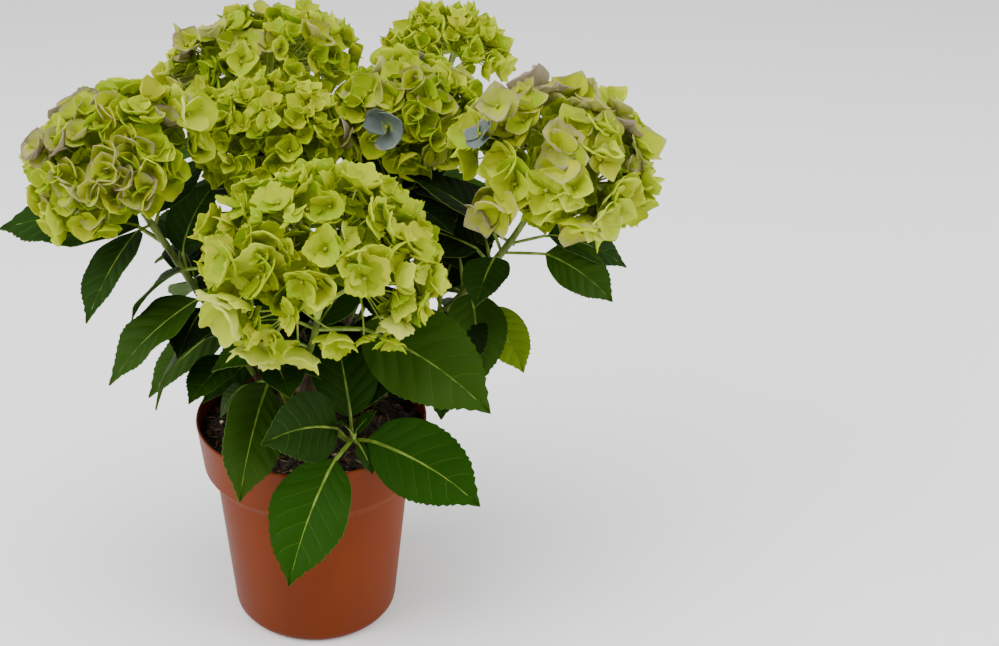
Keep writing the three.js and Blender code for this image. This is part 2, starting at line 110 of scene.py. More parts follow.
class Path:
    """A smooth line through space, read by the share of its length."""

    def __init__(self, points: Array) -> None:
        """Measures the line.

        Args:
            points: close points along it.
        """
        steps = np.linalg.norm(np.diff(points, axis=0), axis=1)
        self.points = points
        self.length = float(steps.sum())
        self.shares = np.concatenate([[0.0], np.cumsum(steps)]) / self.length

    @classmethod
    def bezier(cls, controls: Sequence[Array], steps: int = 48) -> "Path":
        """The Bezier curve of any number of control points.

        Args:
            controls: the control points, from the start to the end.
            steps: how many straight steps stand for the curve.

        Returns:
            The curve as a path.
        """
        rows = [np.repeat(np.asarray(c, float)[None, :], steps + 1, axis=0) for c in controls]
        t = np.linspace(0, 1, steps + 1)[:, None]
        while len(rows) > 1:
            rows = [a * (1 - t) + b * t for a, b in zip(rows, rows[1:])]
        return cls(rows[0])

    def at(self, share: float | Array) -> Array:
        """Points on the line at shares of its length."""
        return np.stack([np.interp(share, self.shares, self.points[:, k]) for k in range(3)], axis=-1)

    def along(self, share: float | Array) -> Array:
        """Unit directions of the line.

        Args:
            share: the shares of its length.

        Returns:
            A direction for each share, taken between two points close before and after it.
        """
        near = 0.02
        ahead = self.at(np.clip(np.asarray(share) + near, 0, 1))
        return unit(ahead - self.at(np.clip(np.asarray(share) - near, 0, 1)))


# ---------------------------------------------------------------- small shapes and their gathering


@dataclass(frozen=True)
class Pattern:
    """A small closed shape kept as arrays, to be bent and set many times over."""

    points: Array
    corners: Array
    sizes: Array
    zones: Array

    @classmethod
    def taken(cls, mesh: bmesh.types.BMesh) -> "Pattern":
        """Takes the arrays of a bmesh, which is freed.

        Args:
            mesh: the bmesh. The material number of a face becomes its zone.

        Returns:
            The pattern.
        """
        mesh.verts.index_update()
        shape = cls(
            points=np.array([tuple(v.co) for v in mesh.verts]),
            corners=np.array([v.index for f in mesh.faces for v in f.verts]),
            sizes=np.array([len(f.verts) for f in mesh.faces]),
            zones=np.array([f.material_index for f in mesh.faces]),
        )
        mesh.free()
        return shape


class Gathering:
    """Many small shapes, gathered as arrays and written as one mesh."""

    def __init__(self) -> None:
        """Starts with nothing gathered."""
        self._points: list[Array] = []
        self._corners: list[Array] = []
        self._sizes: list[Array] = []
        self._slots: list[Array] = []
        self._count = 0

    def add(self, points: Array, pattern: Pattern, palette: Sequence[int] = (0,)) -> None:
        """Adds one bent copy of a pattern.

        Args:
            points: the copy's points in millimetres, in the pattern's order.
            pattern: the shape that the points belong to.
            palette: the material number that each zone of the pattern wears.
        """
        self._points.append(points)
        self._corners.append(pattern.corners + self._count)
        self._sizes.append(pattern.sizes)
        self._slots.append(np.asarray(palette)[pattern.zones])
        self._count += len(points)

    def built(self, name: str, materials: Sequence[Material], crease: float = 50) -> Piece:
        """Writes what was gathered as one object.

        Args:
            name: the object's name.
            materials: its materials, in the order of the palettes' numbers.
            crease: degrees past which an edge is shaded sharp.

        Returns:
            The new object, which stands at the origin.
        """
        sizes = np.concatenate(self._sizes)
        corners = np.concatenate(self._corners)
        mesh = bpy.data.meshes.new(name)
        mesh.vertices.add(self._count)
        mesh.vertices.foreach_set("co", (np.concatenate(self._points) * MM).ravel())
        mesh.loops.add(len(corners))
        mesh.loops.foreach_set("vertex_index", corners)
        mesh.polygons.add(len(sizes))
        mesh.polygons.foreach_set("loop_start", np.concatenate([[0], np.cumsum(sizes)[:-1]]))
        mesh.polygons.foreach_set("material_index", np.concatenate(self._slots))
        mesh.polygons.foreach_set("use_smooth", np.ones(len(sizes), bool))
        return finished(name, mesh, materials, crease)


def finished(
    name: str, mesh: bpy.types.Mesh, materials: Sequence[Material], crease: float
) -> Piece:
    """Makes a mesh an object of the scene, with its materials and its sharp edges.

    Args:
        name: the object's name.
        mesh: the mesh, in metres.
        materials: the materials that its faces number.
        crease: degrees past which an edge is shaded sharp.

    Returns:
        The new object.
    """
    mesh.update(calc_edges=True)
    mesh.validate()
    for material in materials:
        mesh.materials.append(material)
    mesh.set_sharp_from_angle(angle=math.radians(crease))
    piece = bpy.data.objects.new(name, mesh)
    bpy.context.scene.collection.objects.link(piece)
    return piece


def written(
    name: str, mesh: bmesh.types.BMesh, materials: Sequence[Material], crease: float = 40
) -> Piece:
    """Writes a bmesh as a smooth object.

    Args:
        name: the object's name.
        mesh: the bmesh, laid out in millimetres, which is freed.
        materials: the materials that its faces number.
        crease: degrees past which an edge is shaded sharp.

    Returns:
        The new object.
    """
    bmesh.ops.scale(mesh, vec=(MM, MM, MM), verts=mesh.verts)
    for face in mesh.faces:
        face.smooth = True
    data = bpy.data.meshes.new(name)
    mesh.to_mesh(data)
    mesh.free()
    return finished(name, data, materials, crease)


def place(piece: Piece, slot: str, *nodes: str) -> Piece:
    """Sets a piece on the plant's one body and reports it.

    Args:
        piece: the piece.
        slot: its material slot; not used.
        nodes: the CAD nodes that it stands for.

    Returns:
        The piece.
    """
    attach(piece, ROOT)
    if nodes:
        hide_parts(*nodes)
    triangles = sum(len(face.vertices) - 2 for face in piece.data.polygons)
    LOG.info("%-22s %7d triangles, stands for %d nodes", piece.name, triangles, len(nodes))
    return piece


def sleeve(sides: int, rings: int) -> Pattern:
    """A closed round sleeve of radius 1 whose z runs from 0 to 1.

    Args:
        sides: how many sides it has round.
        rings: how many stretches it has along.

    Returns:
        The sleeve.
    """
    mesh = bmesh.new()
    bmesh.ops.create_cone(
        mesh, cap_ends=True, cap_tris=True, segments=sides, radius1=1, radius2=1, depth=1
    )
    bmesh.ops.translate(mesh, verts=mesh.verts, vec=(0, 0, 0.5))
    for ring in range(1, rings):
        geometry = [*mesh.verts, *mesh.edges, *mesh.faces]
        bmesh.ops.bisect_plane(mesh, geom=geometry, plane_co=(0, 0, ring / rings), plane_no=(0, 0, 1))
    return Pattern.taken(mesh)


def lump() -> Pattern:
    """A small round lump.

    Returns:
        The lump, of radius 1.
    """
    mesh = bmesh.new()
    bmesh.ops.create_icosphere(mesh, subdivisions=1, radius=1)
    return Pattern.taken(mesh)


def spun(section: Sequence[tuple[float, float]], sides: int) -> bmesh.types.BMesh:
    """Spins a section once round the vertical axis, and merges its seam and its poles.

    Args:
        section: the section's corners as (radius, z).
        sides: how many sides the spin has.

    Returns:
        The spun shape, whose faces aren't turned outwards yet.
    """
    mesh = bmesh.new()
    corners = [mesh.verts.new((radius, 0, z)) for radius, z in section]
    edges = [mesh.edges.new(pair) for pair in zip(corners, corners[1:])]
    bmesh.ops.spin(
        mesh, geom=[*corners, *edges], axis=(0, 0, 1), angle=FULL_TURN, steps=sides, use_merge=True
    )
    bmesh.ops.remove_doubles(mesh, verts=mesh.verts, dist=MERGED_WITHIN)
    return mesh


def thickened(sheet: bmesh.types.BMesh, thickness: float, under_zone: int) -> Pattern:
    """Gives a thin sheet a thickness.

    Args:
        sheet: the sheet, which is freed.
        thickness: how far the underside lies below it.
        under_zone: the zone of the underside and the rim.

    Returns:
        The closed shape.
    """
    extruded = bmesh.ops.extrude_face_region(sheet, geom=sheet.faces[:])["geom"]
    under = {item for item in extruded if isinstance(item, bmesh.types.BMVert)}
    for face in sheet.faces:
        if any(corner in under for corner in face.verts):
            face.material_index = under_zone
    bmesh.ops.translate(sheet, verts=list(under), vec=(0, 0, -thickness))
    bmesh.ops.recalc_face_normals(sheet, faces=sheet.faces)
    return Pattern.taken(sheet)


def wrapped(
    pattern: Pattern, path: Path, radius: Callable[[Array], Array], start: float = 0, end: float = 1
) -> Array:
    """Wraps a sleeve round a stretch of a path.

    Args:
        pattern: the sleeve.
        path: the line that it follows.
        radius: gives the radius in millimetres for shares of the stretch.
        start: the share of the path where the stretch starts.
        end: the share where it ends.

    Returns:
        The sleeve's points in millimetres.
    """
    share = pattern.points[:, 2]
    at = start + (end - start) * share
    along = path.along(at)
    chord = unit(path.points[-1] - path.points[0])
    reference = np.array([1.0, 0, 0]) if abs(chord[2]) > 0.8 else UP
    side = unit(np.cross(along, reference))
    other = np.cross(along, side)
    ring = pattern.points[:, :1] * side + pattern.points[:, 1:2] * other
    return path.at(at) + ring * radius(share)[:, None]


# ---------------------------------------------------------------- finishes


class Nodes:
    """A material's node tree, with short calls for the nodes that the finishes share."""

    def __init__(self, name: str) -> None:
        """Starts a material with an empty tree and an output.

        Args:
            name: the material's name.
        """
        self.material = bpy.data.materials.new(name)
        self.material.use_nodes = True
        self.tree = self.material.node_tree
        self.tree.nodes.clear()
        self.output = self.tree.nodes.new("ShaderNodeOutputMaterial")

    def add(self, kind: str, **settings: object) -> bpy.types.Node:
        """Adds a node.

        Args:
            kind: the node's type, without the leading ShaderNode.
            settings: its properties, or its inputs' values by their names with _ for a space.

        Returns:
            The node.
        """
        node = self.tree.nodes.new("ShaderNode" + kind)
        for key, value in settings.items():
            if hasattr(node, key):
                setattr(node, key, value)
            else:
                node.inputs[key.replace("_", " ")].default_value = value
        return node

    def link(self, source: Socket, target: Socket) -> None:
        """Joins two sockets."""
        self.tree.links.new(source, target)

    def places(self, scale: Triple = (1, 1, 1)) -> Socket:
        """The Object coordinates, stretched by a Mapping node.

        Args:
            scale: the stretch along each axis.

        Returns:
            The coordinates.
        """
        coordinates = self.add("TexCoord")
        mapping = self.add("Mapping")
        mapping.inputs["Scale"].default_value = scale
        self.link(coordinates.outputs["Object"], mapping.inputs["Vector"])
        return mapping.outputs["Vector"]

    def noise(self, places: Socket, scale: float, detail: float) -> Socket:
        """Adds a noise.

        Args:
            places: the coordinates that it reads.
            scale: how many cells it has a metre.
            detail: how many finer layers it has.

        Returns:
            Its value.
        """
        node = self.add("TexNoise", Scale=scale, Detail=detail)
        self.link(places, node.inputs["Vector"])
        return node.outputs["Fac"]

    def bump(self, height: Socket, depth: float) -> Socket:
        """Adds a relief.

        Args:
            height: the height, from 0 to 1.
            depth: how many millimetres a height of 1 stands for.

        Returns:
            The normal that it gives.
        """
        node = self.add("Bump", Strength=1, Distance=depth * MM)
        self.link(height, node.inputs["Height"])
        return node.outputs["Normal"]

    def shader(self, roughness: float, gloss: float) -> bpy.types.Node:
        """A principled shader of a roughness and a specular level."""
        return self.add("BsdfPrincipled", Roughness=roughness, Specular_IOR_Level=gloss)

    def colour(self, shader: bpy.types.Node, factor: Socket, stops: Sequence[tuple[float, tuple]]) -> None:
        """Colours a shader by a ramp.

        Args:
            shader: the shader.
            factor: what the ramp reads.
            stops: the ramp's stops, as (place, linear colour).
        """
        ramp = self.add("ValToRGB")
        elements = ramp.color_ramp.elements
        while len(elements) < len(stops):
            elements.new(0.5)
        for element, (at, colour) in zip(elements, stops):
            element.position = at
            element.color = colour
        self.link(factor, ramp.inputs["Fac"])
        self.link(ramp.outputs["Color"], shader.inputs["Base Color"])

    def roughen(self, shader: bpy.types.Node, factor: Socket, low: float, high: float) -> None:
        """Varies a shader's roughness by a noise, most of which lies from 0.3 to 0.7.

        Args:
            shader: the shader.
            factor: the noise.
            low: the roughness at 0.3.
            high: the roughness at 0.7.
        """
        spread = self.add("MapRange", From_Min=0.3, From_Max=0.7, To_Min=low, To_Max=high)
        self.link(factor, spread.inputs["Value"])
        self.link(spread.outputs["Result"], shader.inputs["Roughness"])

    def done(self, surface: Socket) -> Material:
        """Sends a surface to the output, which completes the material."""
        self.link(surface, self.output.inputs["Surface"])
        return self.material


@dataclass(frozen=True)
class PlasticFinish:
    """Matt moulded plastic with soft upright mottling and a fine grain."""

    name: str
    colour: Colour
    shade: Colour
    roughness: float = 0.46
    gloss: float = 0.1
    flow: Triple = (6, 6, 2.2)
    mottle: float = 3
    grain: float = 2600
    depth: float = 0.03

    def material(self) -> Material:
        """Makes the finish.

        Returns:
            The material.
        """
        nodes = Nodes(self.name)
        shader = nodes.shader(self.roughness, self.gloss)
        broad = nodes.noise(nodes.places(self.flow), self.mottle, 4)
        nodes.colour(shader, broad, [(0.3, linear(*self.shade)), (0.7, linear(*self.colour))])
        nodes.roughen(shader, broad, self.roughness - 0.05, self.roughness + 0.09)
        fine = nodes.noise(nodes.places(), self.grain, 2)
        nodes.link(nodes.bump(fine, self.depth), shader.inputs["Normal"])
        return nodes.done(shader.outputs["BSDF"])


@dataclass(frozen=True)
class GrainFinish:
    """A rough natural surface in three tones, such as peat, bark or a green stem."""

    name: str
    tones: tuple[Colour, Colour, Colour]
    scale: float
    stretch: Triple = (1, 1, 1)
    depth: float = 0.4
    roughness: float = 0.8
    gloss: float = 0.3
    stops: Triple = (0.34, 0.5, 0.68)
    relief_scale: float = 2.3

    def material(self) -> Material:
        """Makes the finish.

        Returns:
            The material.
        """
        nodes = Nodes(self.name)
        shader = nodes.shader(self.roughness, self.gloss)
        places = nodes.places(self.stretch)
        grain = nodes.noise(places, self.scale, 6)
        nodes.colour(shader, grain, [(stop, linear(*tone)) for stop, tone in zip(self.stops, self.tones)])
        nodes.roughen(shader, grain, self.roughness + 0.1, self.roughness - 0.1)
        relief = nodes.noise(places, self.scale * self.relief_scale, 4)
        nodes.link(nodes.bump(relief, self.depth), shader.inputs["Normal"])
        return nodes.done(shader.outputs["BSDF"])


@dataclass(frozen=True)
class TissueFinish:
    """Living leaf or sepal: one plain colour that lets some light through, with a fine cellular relief."""

    name: str
    colour: Colour
    glow: Colour
    through: float
    roughness: float
    gloss: float = 0.5
    depth: float = 0.05
    cells: float = 900

    def material(self) -> Material:
        """Makes the finish.

        Returns:
            The material.
        """
        nodes = Nodes(self.name)
        shader = nodes.shader(self.roughness, self.gloss)
        shader.inputs["Base Color"].default_value = linear(*self.colour)
        relief = nodes.noise(nodes.places(), self.cells, 3)
        nodes.roughen(shader, relief, self.roughness - 0.06, self.roughness + 0.08)
        normal = nodes.bump(relief, self.depth)
        nodes.link(normal, shader.inputs["Normal"])
        thin = nodes.add("BsdfTranslucent", Color=linear(*self.glow))
        nodes.link(normal, thin.inputs["Normal"])
        mix = nodes.add("MixShader", Fac=self.through)
        nodes.link(shader.outputs["BSDF"], mix.inputs[1])
        nodes.link(thin.outputs["BSDF"], mix.inputs[2])
        return nodes.done(mix.outputs["Shader"])


TERRACOTTA = PlasticFinish("terracotta_plastic", (103, 40, 0), (91, 33, 0))
PEAT = (
    GrainFinish("peat", ((24, 17, 12), (40, 29, 21), (62, 46, 32)), 420),
    GrainFinish("peat_brown", ((44, 29, 19), (72, 49, 32), (98, 70, 46)), 380),
    GrainFinish("speck", ((122, 104, 78), (160, 142, 112), (196, 182, 150)), 500),
    GrainFinish("fibre", ((92, 66, 42), (128, 96, 62), (160, 126, 84)), 500),
)
BARK = GrainFinish("bark", ((54, 42, 28), (86, 68, 48), (118, 100, 74)), 260, (1, 1, 0.2), 0.5)
GREEN_STEM = GrainFinish(
    "green_stem", ((56, 72, 12), (80, 98, 24), (112, 124, 46)), 160, (1, 1, 0.25), 0.15, 0.5
)
LEAF_STALK = GrainFinish(
    "leaf_stalk", ((76, 102, 18), (104, 130, 34), (134, 152, 62)), 200, (1, 1, 0.5), 0.08, 0.5
)
FLOWER_STALK = GrainFinish(
    "flower_stalk", ((136, 156, 44), (160, 178, 66), (182, 194, 92)), 240, (1, 1, 0.5), 0.05, 0.5
)
BUD = TissueFinish("bud", (150, 160, 40), (180, 190, 60), 0.2, 0.5)


class LeafTint(IntEnum):
    """The greens that leaves are dealt, among them a painted shade and a painted backlight, and what their
    veins and undersides wear.
    """

    DEEP = 0
    MID = 1
    FRESH = 2
    # PALE is a painted backlight: a pale yellow-green for a leaf lit through from behind.
    PALE = 3
    VEIN = 4
    DIM_VEIN = 5
    BACK = 6
    # SHADY is painted shade: a near-black green for leaves deep in the plant's shadow.
    SHADY = 7


LEAF_COLOURS = {
    LeafTint.DEEP: (26, 52, 2),
    LeafTint.MID: (41, 68, 10),
    LeafTint.FRESH: (28, 64, 0),
    # Painted backlight: the pale yellow-green of a leaf lit through from behind.
    LeafTint.PALE: (92, 116, 0),
    LeafTint.VEIN: (60, 94, 18),
    LeafTint.DIM_VEIN: (50, 82, 16),
    LeafTint.BACK: (72, 98, 36),
    # Painted shade: the near-black green of leaves deep in shadow.
    LeafTint.SHADY: (15, 31, 2),
}


def leaf_materials() -> list[Material]:
    """Makes the leaves' materials.

    Returns:
        The materials, in the order of LeafTint.
    """
    made = []
    for tint, (red, green, blue) in LEAF_COLOURS.items():
        name, glow = f"leaf_{tint.name.lower()}", (red + 40, green + 50, 0)
        made.append(TissueFinish(name, (red, green, blue), glow, 0.14, 0.58, 0.07, depth=0.09).material())
    return made


class SepalTint(IntEnum):
    """The plain colours that sepals are dealt, zone by zone."""

    HEART = 0
    LIME = 1
    BRIGHT = 2
    PALE = 3
    OLIVE = 4
    BUFF = 5
    MAUVE = 6
    STEEL = 7
    MOSS = 8
    # SHADE is painted shade: a darker lime for florets sunk between the others.
    SHADE = 9
    LEAFY = 10
    GOLD = 11


SEPAL_COLOURS = {
    SepalTint.HEART: (156, 172, 12),
    SepalTint.LIME: (184, 196, 26),
    SepalTint.BRIGHT: (200, 210, 56),
    SepalTint.PALE: (208, 214, 100),
    SepalTint.OLIVE: (180, 188, 74),
    SepalTint.BUFF: (184, 180, 112),
    SepalTint.MAUVE: (164, 150, 132),
    SepalTint.STEEL: (118, 130, 126),
    SepalTint.MOSS: (142, 158, 98),
    # Painted shade: the darker lime of sunken inner florets.
    SepalTint.SHADE: (124, 144, 4),
    SepalTint.LEAFY: (164, 188, 20),
    SepalTint.GOLD: (190, 194, 44),
}


def sepal_materials() -> list[Material]:
    """Makes the sepals' materials.

    Returns:
        The materials, in the order of SepalTint.
    """
    made = []
    for tint, (red, green, blue) in SEPAL_COLOURS.items():
        name, glow = f"sepal_{tint.name.lower()}", (red + 14, green + 20, max(blue - 10, 0))
        made.append(TissueFinish(name, (red, green, blue), glow, 0.42, 0.6, 0.15).material())
    return made


class Mood(Enum):
    """How a floret is coloured: the tints of its sepals' heart, inner and outer blade, edge and back."""

    # SHADED is painted shade, dealt to the inner florets sunk in the head.
    SHADED = (SepalTint.SHADE, SepalTint.SHADE, SepalTint.HEART, SepalTint.HEART, SepalTint.HEART)
    DEEP = (SepalTint.HEART, SepalTint.HEART, SepalTint.LIME, SepalTint.LIME, SepalTint.LIME)
    LIME = (SepalTint.HEART, SepalTint.LIME, SepalTint.LIME, SepalTint.BRIGHT, SepalTint.LIME)
    FRESH = (SepalTint.LIME, SepalTint.LIME, SepalTint.BRIGHT, SepalTint.BRIGHT, SepalTint.BRIGHT)
    RIPE = (SepalTint.LIME, SepalTint.BRIGHT, SepalTint.BRIGHT, SepalTint.PALE, SepalTint.PALE)
    DUSTY = (SepalTint.LIME, SepalTint.LIME, SepalTint.OLIVE, SepalTint.BUFF, SepalTint.BUFF)
    BLUSH = (SepalTint.LIME, SepalTint.OLIVE, SepalTint.BUFF, SepalTint.MAUVE, SepalTint.MAUVE)
    STEELY = (SepalTint.MOSS, SepalTint.STEEL, SepalTint.STEEL, SepalTint.MAUVE, SepalTint.STEEL)


TINT_SWAPS = (
    {},
    {SepalTint.LIME: SepalTint.LEAFY, SepalTint.BRIGHT: SepalTint.LIME},
    {SepalTint.LIME: SepalTint.GOLD},
)


# ---------------------------------------------------------------- pot and soil


@dataclass(frozen=True)
class Pot:
    """A round nursery pot with a stacking collar, a thin plain lip and six drain holes."""

    height: float = 136
    rim_radius: float = 70
    collar_radius: float = 66.5
    collar_height: float = 31
    shoulder_radius: float = 59.5
    shoulder_height: float = 7
    foot_radius: float = 51.5
    foot_round: float = 7
    wall: float = 1.3
    floor: float = 2.5
    corner_ease: tuple[float, ...] = (-2, -0.9, 0.9, 2)
    lip: tuple[tuple[float, float], ...] = ((0.3, 2.2), (0, 1.2), (0.15, 0.3), (0.65, 0))
    drain_count: int = 6
    drain_radius: float = 4.5
    drain_circle: float = 38
    sides: int = 120

    @property
    def collar_foot(self) -> float:
        """The height where the collar meets its shoulder."""
        return self.height - self.collar_height

    @property
    def shoulder(self) -> float:
        """The height where the shoulder meets the wall."""
        return self.collar_foot - self.shoulder_height

    def radius(self, z: float) -> float:
        """The outer radius.

        Args:
            z: the height above the underside.

        Returns:
            The radius there.
        """
        heights = (0, self.shoulder, self.collar_foot, self.height)
        radii = (self.foot_radius, self.shoulder_radius, self.collar_radius, self.rim_radius)
        return float(np.interp(z, heights, radii))

    def profile(self) -> list[tuple[float, float]]:
        """The wall's section, from the middle of the underside round to the floor's top.

        Returns:
            Its corners as (radius, z).
        """
        turn = [math.radians(angle) for angle in (0, 22.5, 45, 67.5, 90)]
        reach = self.foot_radius - self.foot_round
        foot = [
            (reach + self.foot_round * math.sin(a), self.foot_round * (1 - math.cos(a))) for a in turn
        ]
        outer = [
            (self.radius(corner + away), corner + away)
            for corner in (self.shoulder, self.collar_foot) for away in self.corner_ease
        ]
        outer += [(self.rim_radius - inset, self.height - drop) for inset, drop in self.lip]
        inner = [
            (self.rim_radius - self.wall - 0.1, self.height - 0.4),
            (self.collar_radius - self.wall, self.collar_foot),
            (self.shoulder_radius - self.wall, self.shoulder),
            (self.radius(self.foot_round) - self.wall, self.foot_round + self.floor),
            (self.foot_radius - self.foot_round - self.wall, self.floor),
            (0, self.floor),
        ]
        return [(0, 0), *foot, *outer, *inner]

    def build(self) -> Piece:
        """Spins the wall and cuts the drain holes.

        Returns:
            The pot.
        """
        mesh = spun(self.profile(), self.sides)
        bmesh.ops.recalc_face_normals(mesh, faces=mesh.faces)
        pot = written("pot_shell", mesh, [TERRACOTTA.material()], crease=32)
        self.drill(pot)
        return place(pot, "pot", "pot")

    def drill(self, pot: Piece) -> None:
        """Cuts the drain holes through the floor.

        Args:
            pot: the pot, which keeps its name and materials.
        """
        cutter = bmesh.new()
        for number in range(self.drain_count):
            turn = (number + 0.5) / self.drain_count * FULL_TURN
            middle = Vector((math.cos(turn), math.sin(turn), 0)) * self.drain_circle
            bmesh.ops.create_cone(
                cutter, cap_ends=True, segments=16, radius1=self.drain_radius,
                radius2=self.drain_radius, depth=4 * self.floor, matrix=Matrix.Translation(middle),
            )
        tool = written("drain_cutter", cutter, [])
        cut = pot.modifiers.new("drain", "BOOLEAN")
        cut.operation = "DIFFERENCE"
        cut.object = tool
        shaped = pot.evaluated_get(bpy.context.evaluated_depsgraph_get())
        mesh = bpy.data.meshes.new_from_object(shaped)
        pot.modifiers.clear()
        pot.data = mesh
        bpy.data.objects.remove(tool)


@dataclass(frozen=True)
class Soil:
    """Dark peat that fills the pot, with crumbs, fibres and a few light specks on it."""

    pot: Pot
    below_rim: float = 9
    clearance: float = 0.35
    bump: float = 2.2
    calm: float = 14
    rings: int = 34
    sides: int = 110
    crumbs: int = 900
    crumb_bare: float = 12
    crumb_margin: float = 16.5
    crumb_least: float = 0.7
    crumb_growth: float = 2.1
    crumb_rough: float = 0.45
    crumb_kinds: tuple[float, ...] = (0.68, 0.27, 0.05)
    fibres: int = 230
    fibre_bare: float = 10
    fibre_margin: float = 17
    fibre_limit: float = 3.5
    fibre_lengths: tuple[float, float] = (4, 11)
    fibre_radii: tuple[float, float] = (0.18, 0.42)
    fibre_kinds: tuple[float, ...] = (0.3, 0.4, 0.1, 0.2)
    seed: int = 31

    @property
    def top(self) -> float:
        """The height of the soil's middle."""
        return self.pot.height - self.below_rim

    def surface(self, x: float, y: float) -> float:
        """The height of the soil at a place, level round the trunk.

        Args:
            x: how far right the place is.
            y: how far back it is.

        Returns:
            The height.
        """
        rough = math.sin(x * 0.21 + 1.3) * math.cos(y * 0.17 - 0.4) + 0.5 * math.sin((x + y) * 0.31)
        calm = float(smooth_share(math.hypot(x, y), self.calm, 2 * self.calm))
        grain = noise(Vector((x, y, 0)) * 0.22) * 1.6 + noise(Vector((x, y, 9)) * 0.6) * 0.8
        return self.top + (self.bump * rough + grain) * calm

    def body(self) -> Pattern:
        """The filling as one closed shape, clear of the pot's inside.

        Returns:
            The shape.
        """
        pot = self.pot
        shrink = pot.wall + self.clearance
        edge = pot.radius(self.top) - shrink
        across = [(edge * ring / self.rings, self.top) for ring in range(self.rings + 1)]
        down = [
            (pot.radius(pot.collar_foot) - shrink, pot.collar_foot),
            (pot.shoulder_radius - shrink, pot.shoulder),
            (pot.radius(pot.foot_round) - shrink, pot.foot_round + pot.floor),
            (pot.foot_radius - pot.foot_round - shrink, pot.floor + self.clearance),
            (0, pot.floor + self.clearance),
        ]
        mesh = spun(across + down, self.sides)
        for corner in mesh.verts:
            if corner.co.z > self.top - 1e-3:
                corner.co.z = self.surface(corner.co.x, corner.co.y)
        bmesh.ops.recalc_face_normals(mesh, faces=mesh.faces)
        return Pattern.taken(mesh)

    def away(self, random: np.random.Generator, bare: float, margin: float) -> float:
        """A random distance from the axis, outside a bare middle and inside the rim."""
        return bare + (self.pot.rim_radius - margin) * math.sqrt(random.random())

    def add_crumbs(self, random: np.random.Generator, gathered: Gathering) -> None:
        """Scatters crumbs over the soil.

        Args:
            random: the soil's random numbers.
            gathered: takes the crumbs.
        """
        pattern = lump()
        for _ in range(self.crumbs):
            radius = self.away(random, self.crumb_bare, self.crumb_margin)
            turn = random.random() * FULL_TURN
            x, y = radius * math.cos(turn), radius * math.sin(turn)
            size = self.crumb_least + self.crumb_growth * random.random() ** 2.4
            shape = pattern.points * (1 + self.crumb_rough * random.uniform(-1, 1, pattern.points.shape))
            shape = shape * np.array([1, random.uniform(0.6, 1), random.uniform(0.5, 0.9)]) * size
            middle = np.array([x, y, self.surface(x, y) + 0.35 * size])
            kind = random.choice(len(self.crumb_kinds), p=self.crumb_kinds)
            gathered.add(shape + middle, pattern, (kind,))

    def add_fibres(self, random: np.random.Generator, gathered: Gathering) -> None:
        """Strews thin bent fibres over the soil.

        Args:
            random: the soil's random numbers.
            gathered: takes the fibres.
        """
        pattern = sleeve(4, 4)
        limit = self.pot.rim_radius - self.fibre_limit
        for _ in range(self.fibres):
            radius = self.away(random, self.fibre_bare, self.fibre_margin)
            start = heading(random.random() * 360, 0) * radius
            way = heading(random.random() * 360, 0) * random.uniform(*self.fibre_lengths)
            points = [start, start + way * 0.5 + random.normal(0, 1.6, 3), start + way]
            for point in points:
                point[:2] *= min(1, limit / math.hypot(point[0], point[1]))
                point[2] = self.surface(point[0], point[1]) + random.uniform(0.2, 1.8)
            thick = random.uniform(*self.fibre_radii)
            line = wrapped(pattern, Path.bezier(points, 8), lambda share: thick * (1 - 0.6 * share))
            gathered.add(line, pattern, (random.choice(len(self.fibre_kinds), p=self.fibre_kinds),))

    def build(self) -> Piece:
        """Gathers the filling, its crumbs and its fibres.

        Returns:
            The soil.
        """
        random = np.random.default_rng(self.seed)
        gathered = Gathering()
        body = self.body()
        gathered.add(body.points, body)
        self.add_crumbs(random, gathered)
        self.add_fibres(random, gathered)
        materials = [finish.material() for finish in PEAT]
        return place(gathered.built("soil_surface", materials, crease=60), "soil", "soil")


# ---------------------------------------------------------------- trunk and boughs


@dataclass(frozen=True)
class Trunk:
    """The short woody trunk, flared at the soil and swollen where the shoots leave it."""

    ground: float = 127
    radius: float = 7
    flare: float = 3.5
    head_radius: float = 8.5
    head_z: float = 156
    lean: tuple[float, float] = (1.5, -1.0)
    clear: float = 0.3
    cap: float = 0.995
    sink: float = 0.35
    ridge: float = 0.07
    sides: int = 28
    rings: int = 30

    def centre(self, z: float) -> Array:
        """The centre line at a height."""
        share = (z - self.ground) / (self.head_z - self.ground)
        return np.array([self.lean[0] * share * share, self.lean[1] * share * share, z])

    def radius_at(self, z: float) -> float:
        """The trunk's radius, flared at the ground and with a round head.

        Args:
            z: the height.

        Returns:
            The radius there.
        """
        up = (z - self.ground) / (self.head_z - self.ground)
        if up > 1:
            return math.sqrt(max(self.head_radius**2 - (z - self.head_z) ** 2, 0.6))
        swell = float(smooth_share(up, 0.55, 1)) * (self.head_radius - self.radius)
        return self.radius + swell + self.flare * math.exp(-7 * up)

    def build(self, bark: Sequence[Material]) -> Piece:
        """Wraps ridged bark round the centre line.

        Args:
            bark: the bark's material.

        Returns:
            The trunk.
        """
        pattern = sleeve(self.sides, self.rings)
        top = self.head_z + self.head_radius * self.cap
        points = np.empty_like(pattern.points)
        for number, (x, y, share) in enumerate(pattern.points):
            z = self.ground + self.clear + (top - self.ground - self.clear) * math.sin(share * math.pi / 2)
            ridge = noise(Vector((x * 2.6, y * 2.6, z * 0.11))) + 0.5 * noise(Vector((x * 6, y * 6, z * 0.4)))
            radius = self.radius_at(z) * (1 + self.ridge * ridge) - self.sink
            points[number] = self.centre(z) + np.array([x, y, 0]) * radius
        gathered = Gathering()
        gathered.add(points, pattern)
        return place(gathered.built("trunk_bark", bark, crease=70), "bark", "trunk")


class Tier(Enum):
    """Where a shoot leaves the trunk: its height, and the shoot's radius there."""

    HEAD = (156.0, 2.6)
    FLANK = (148.0, 2.8)
    FOOT = (136.0, 2.2)


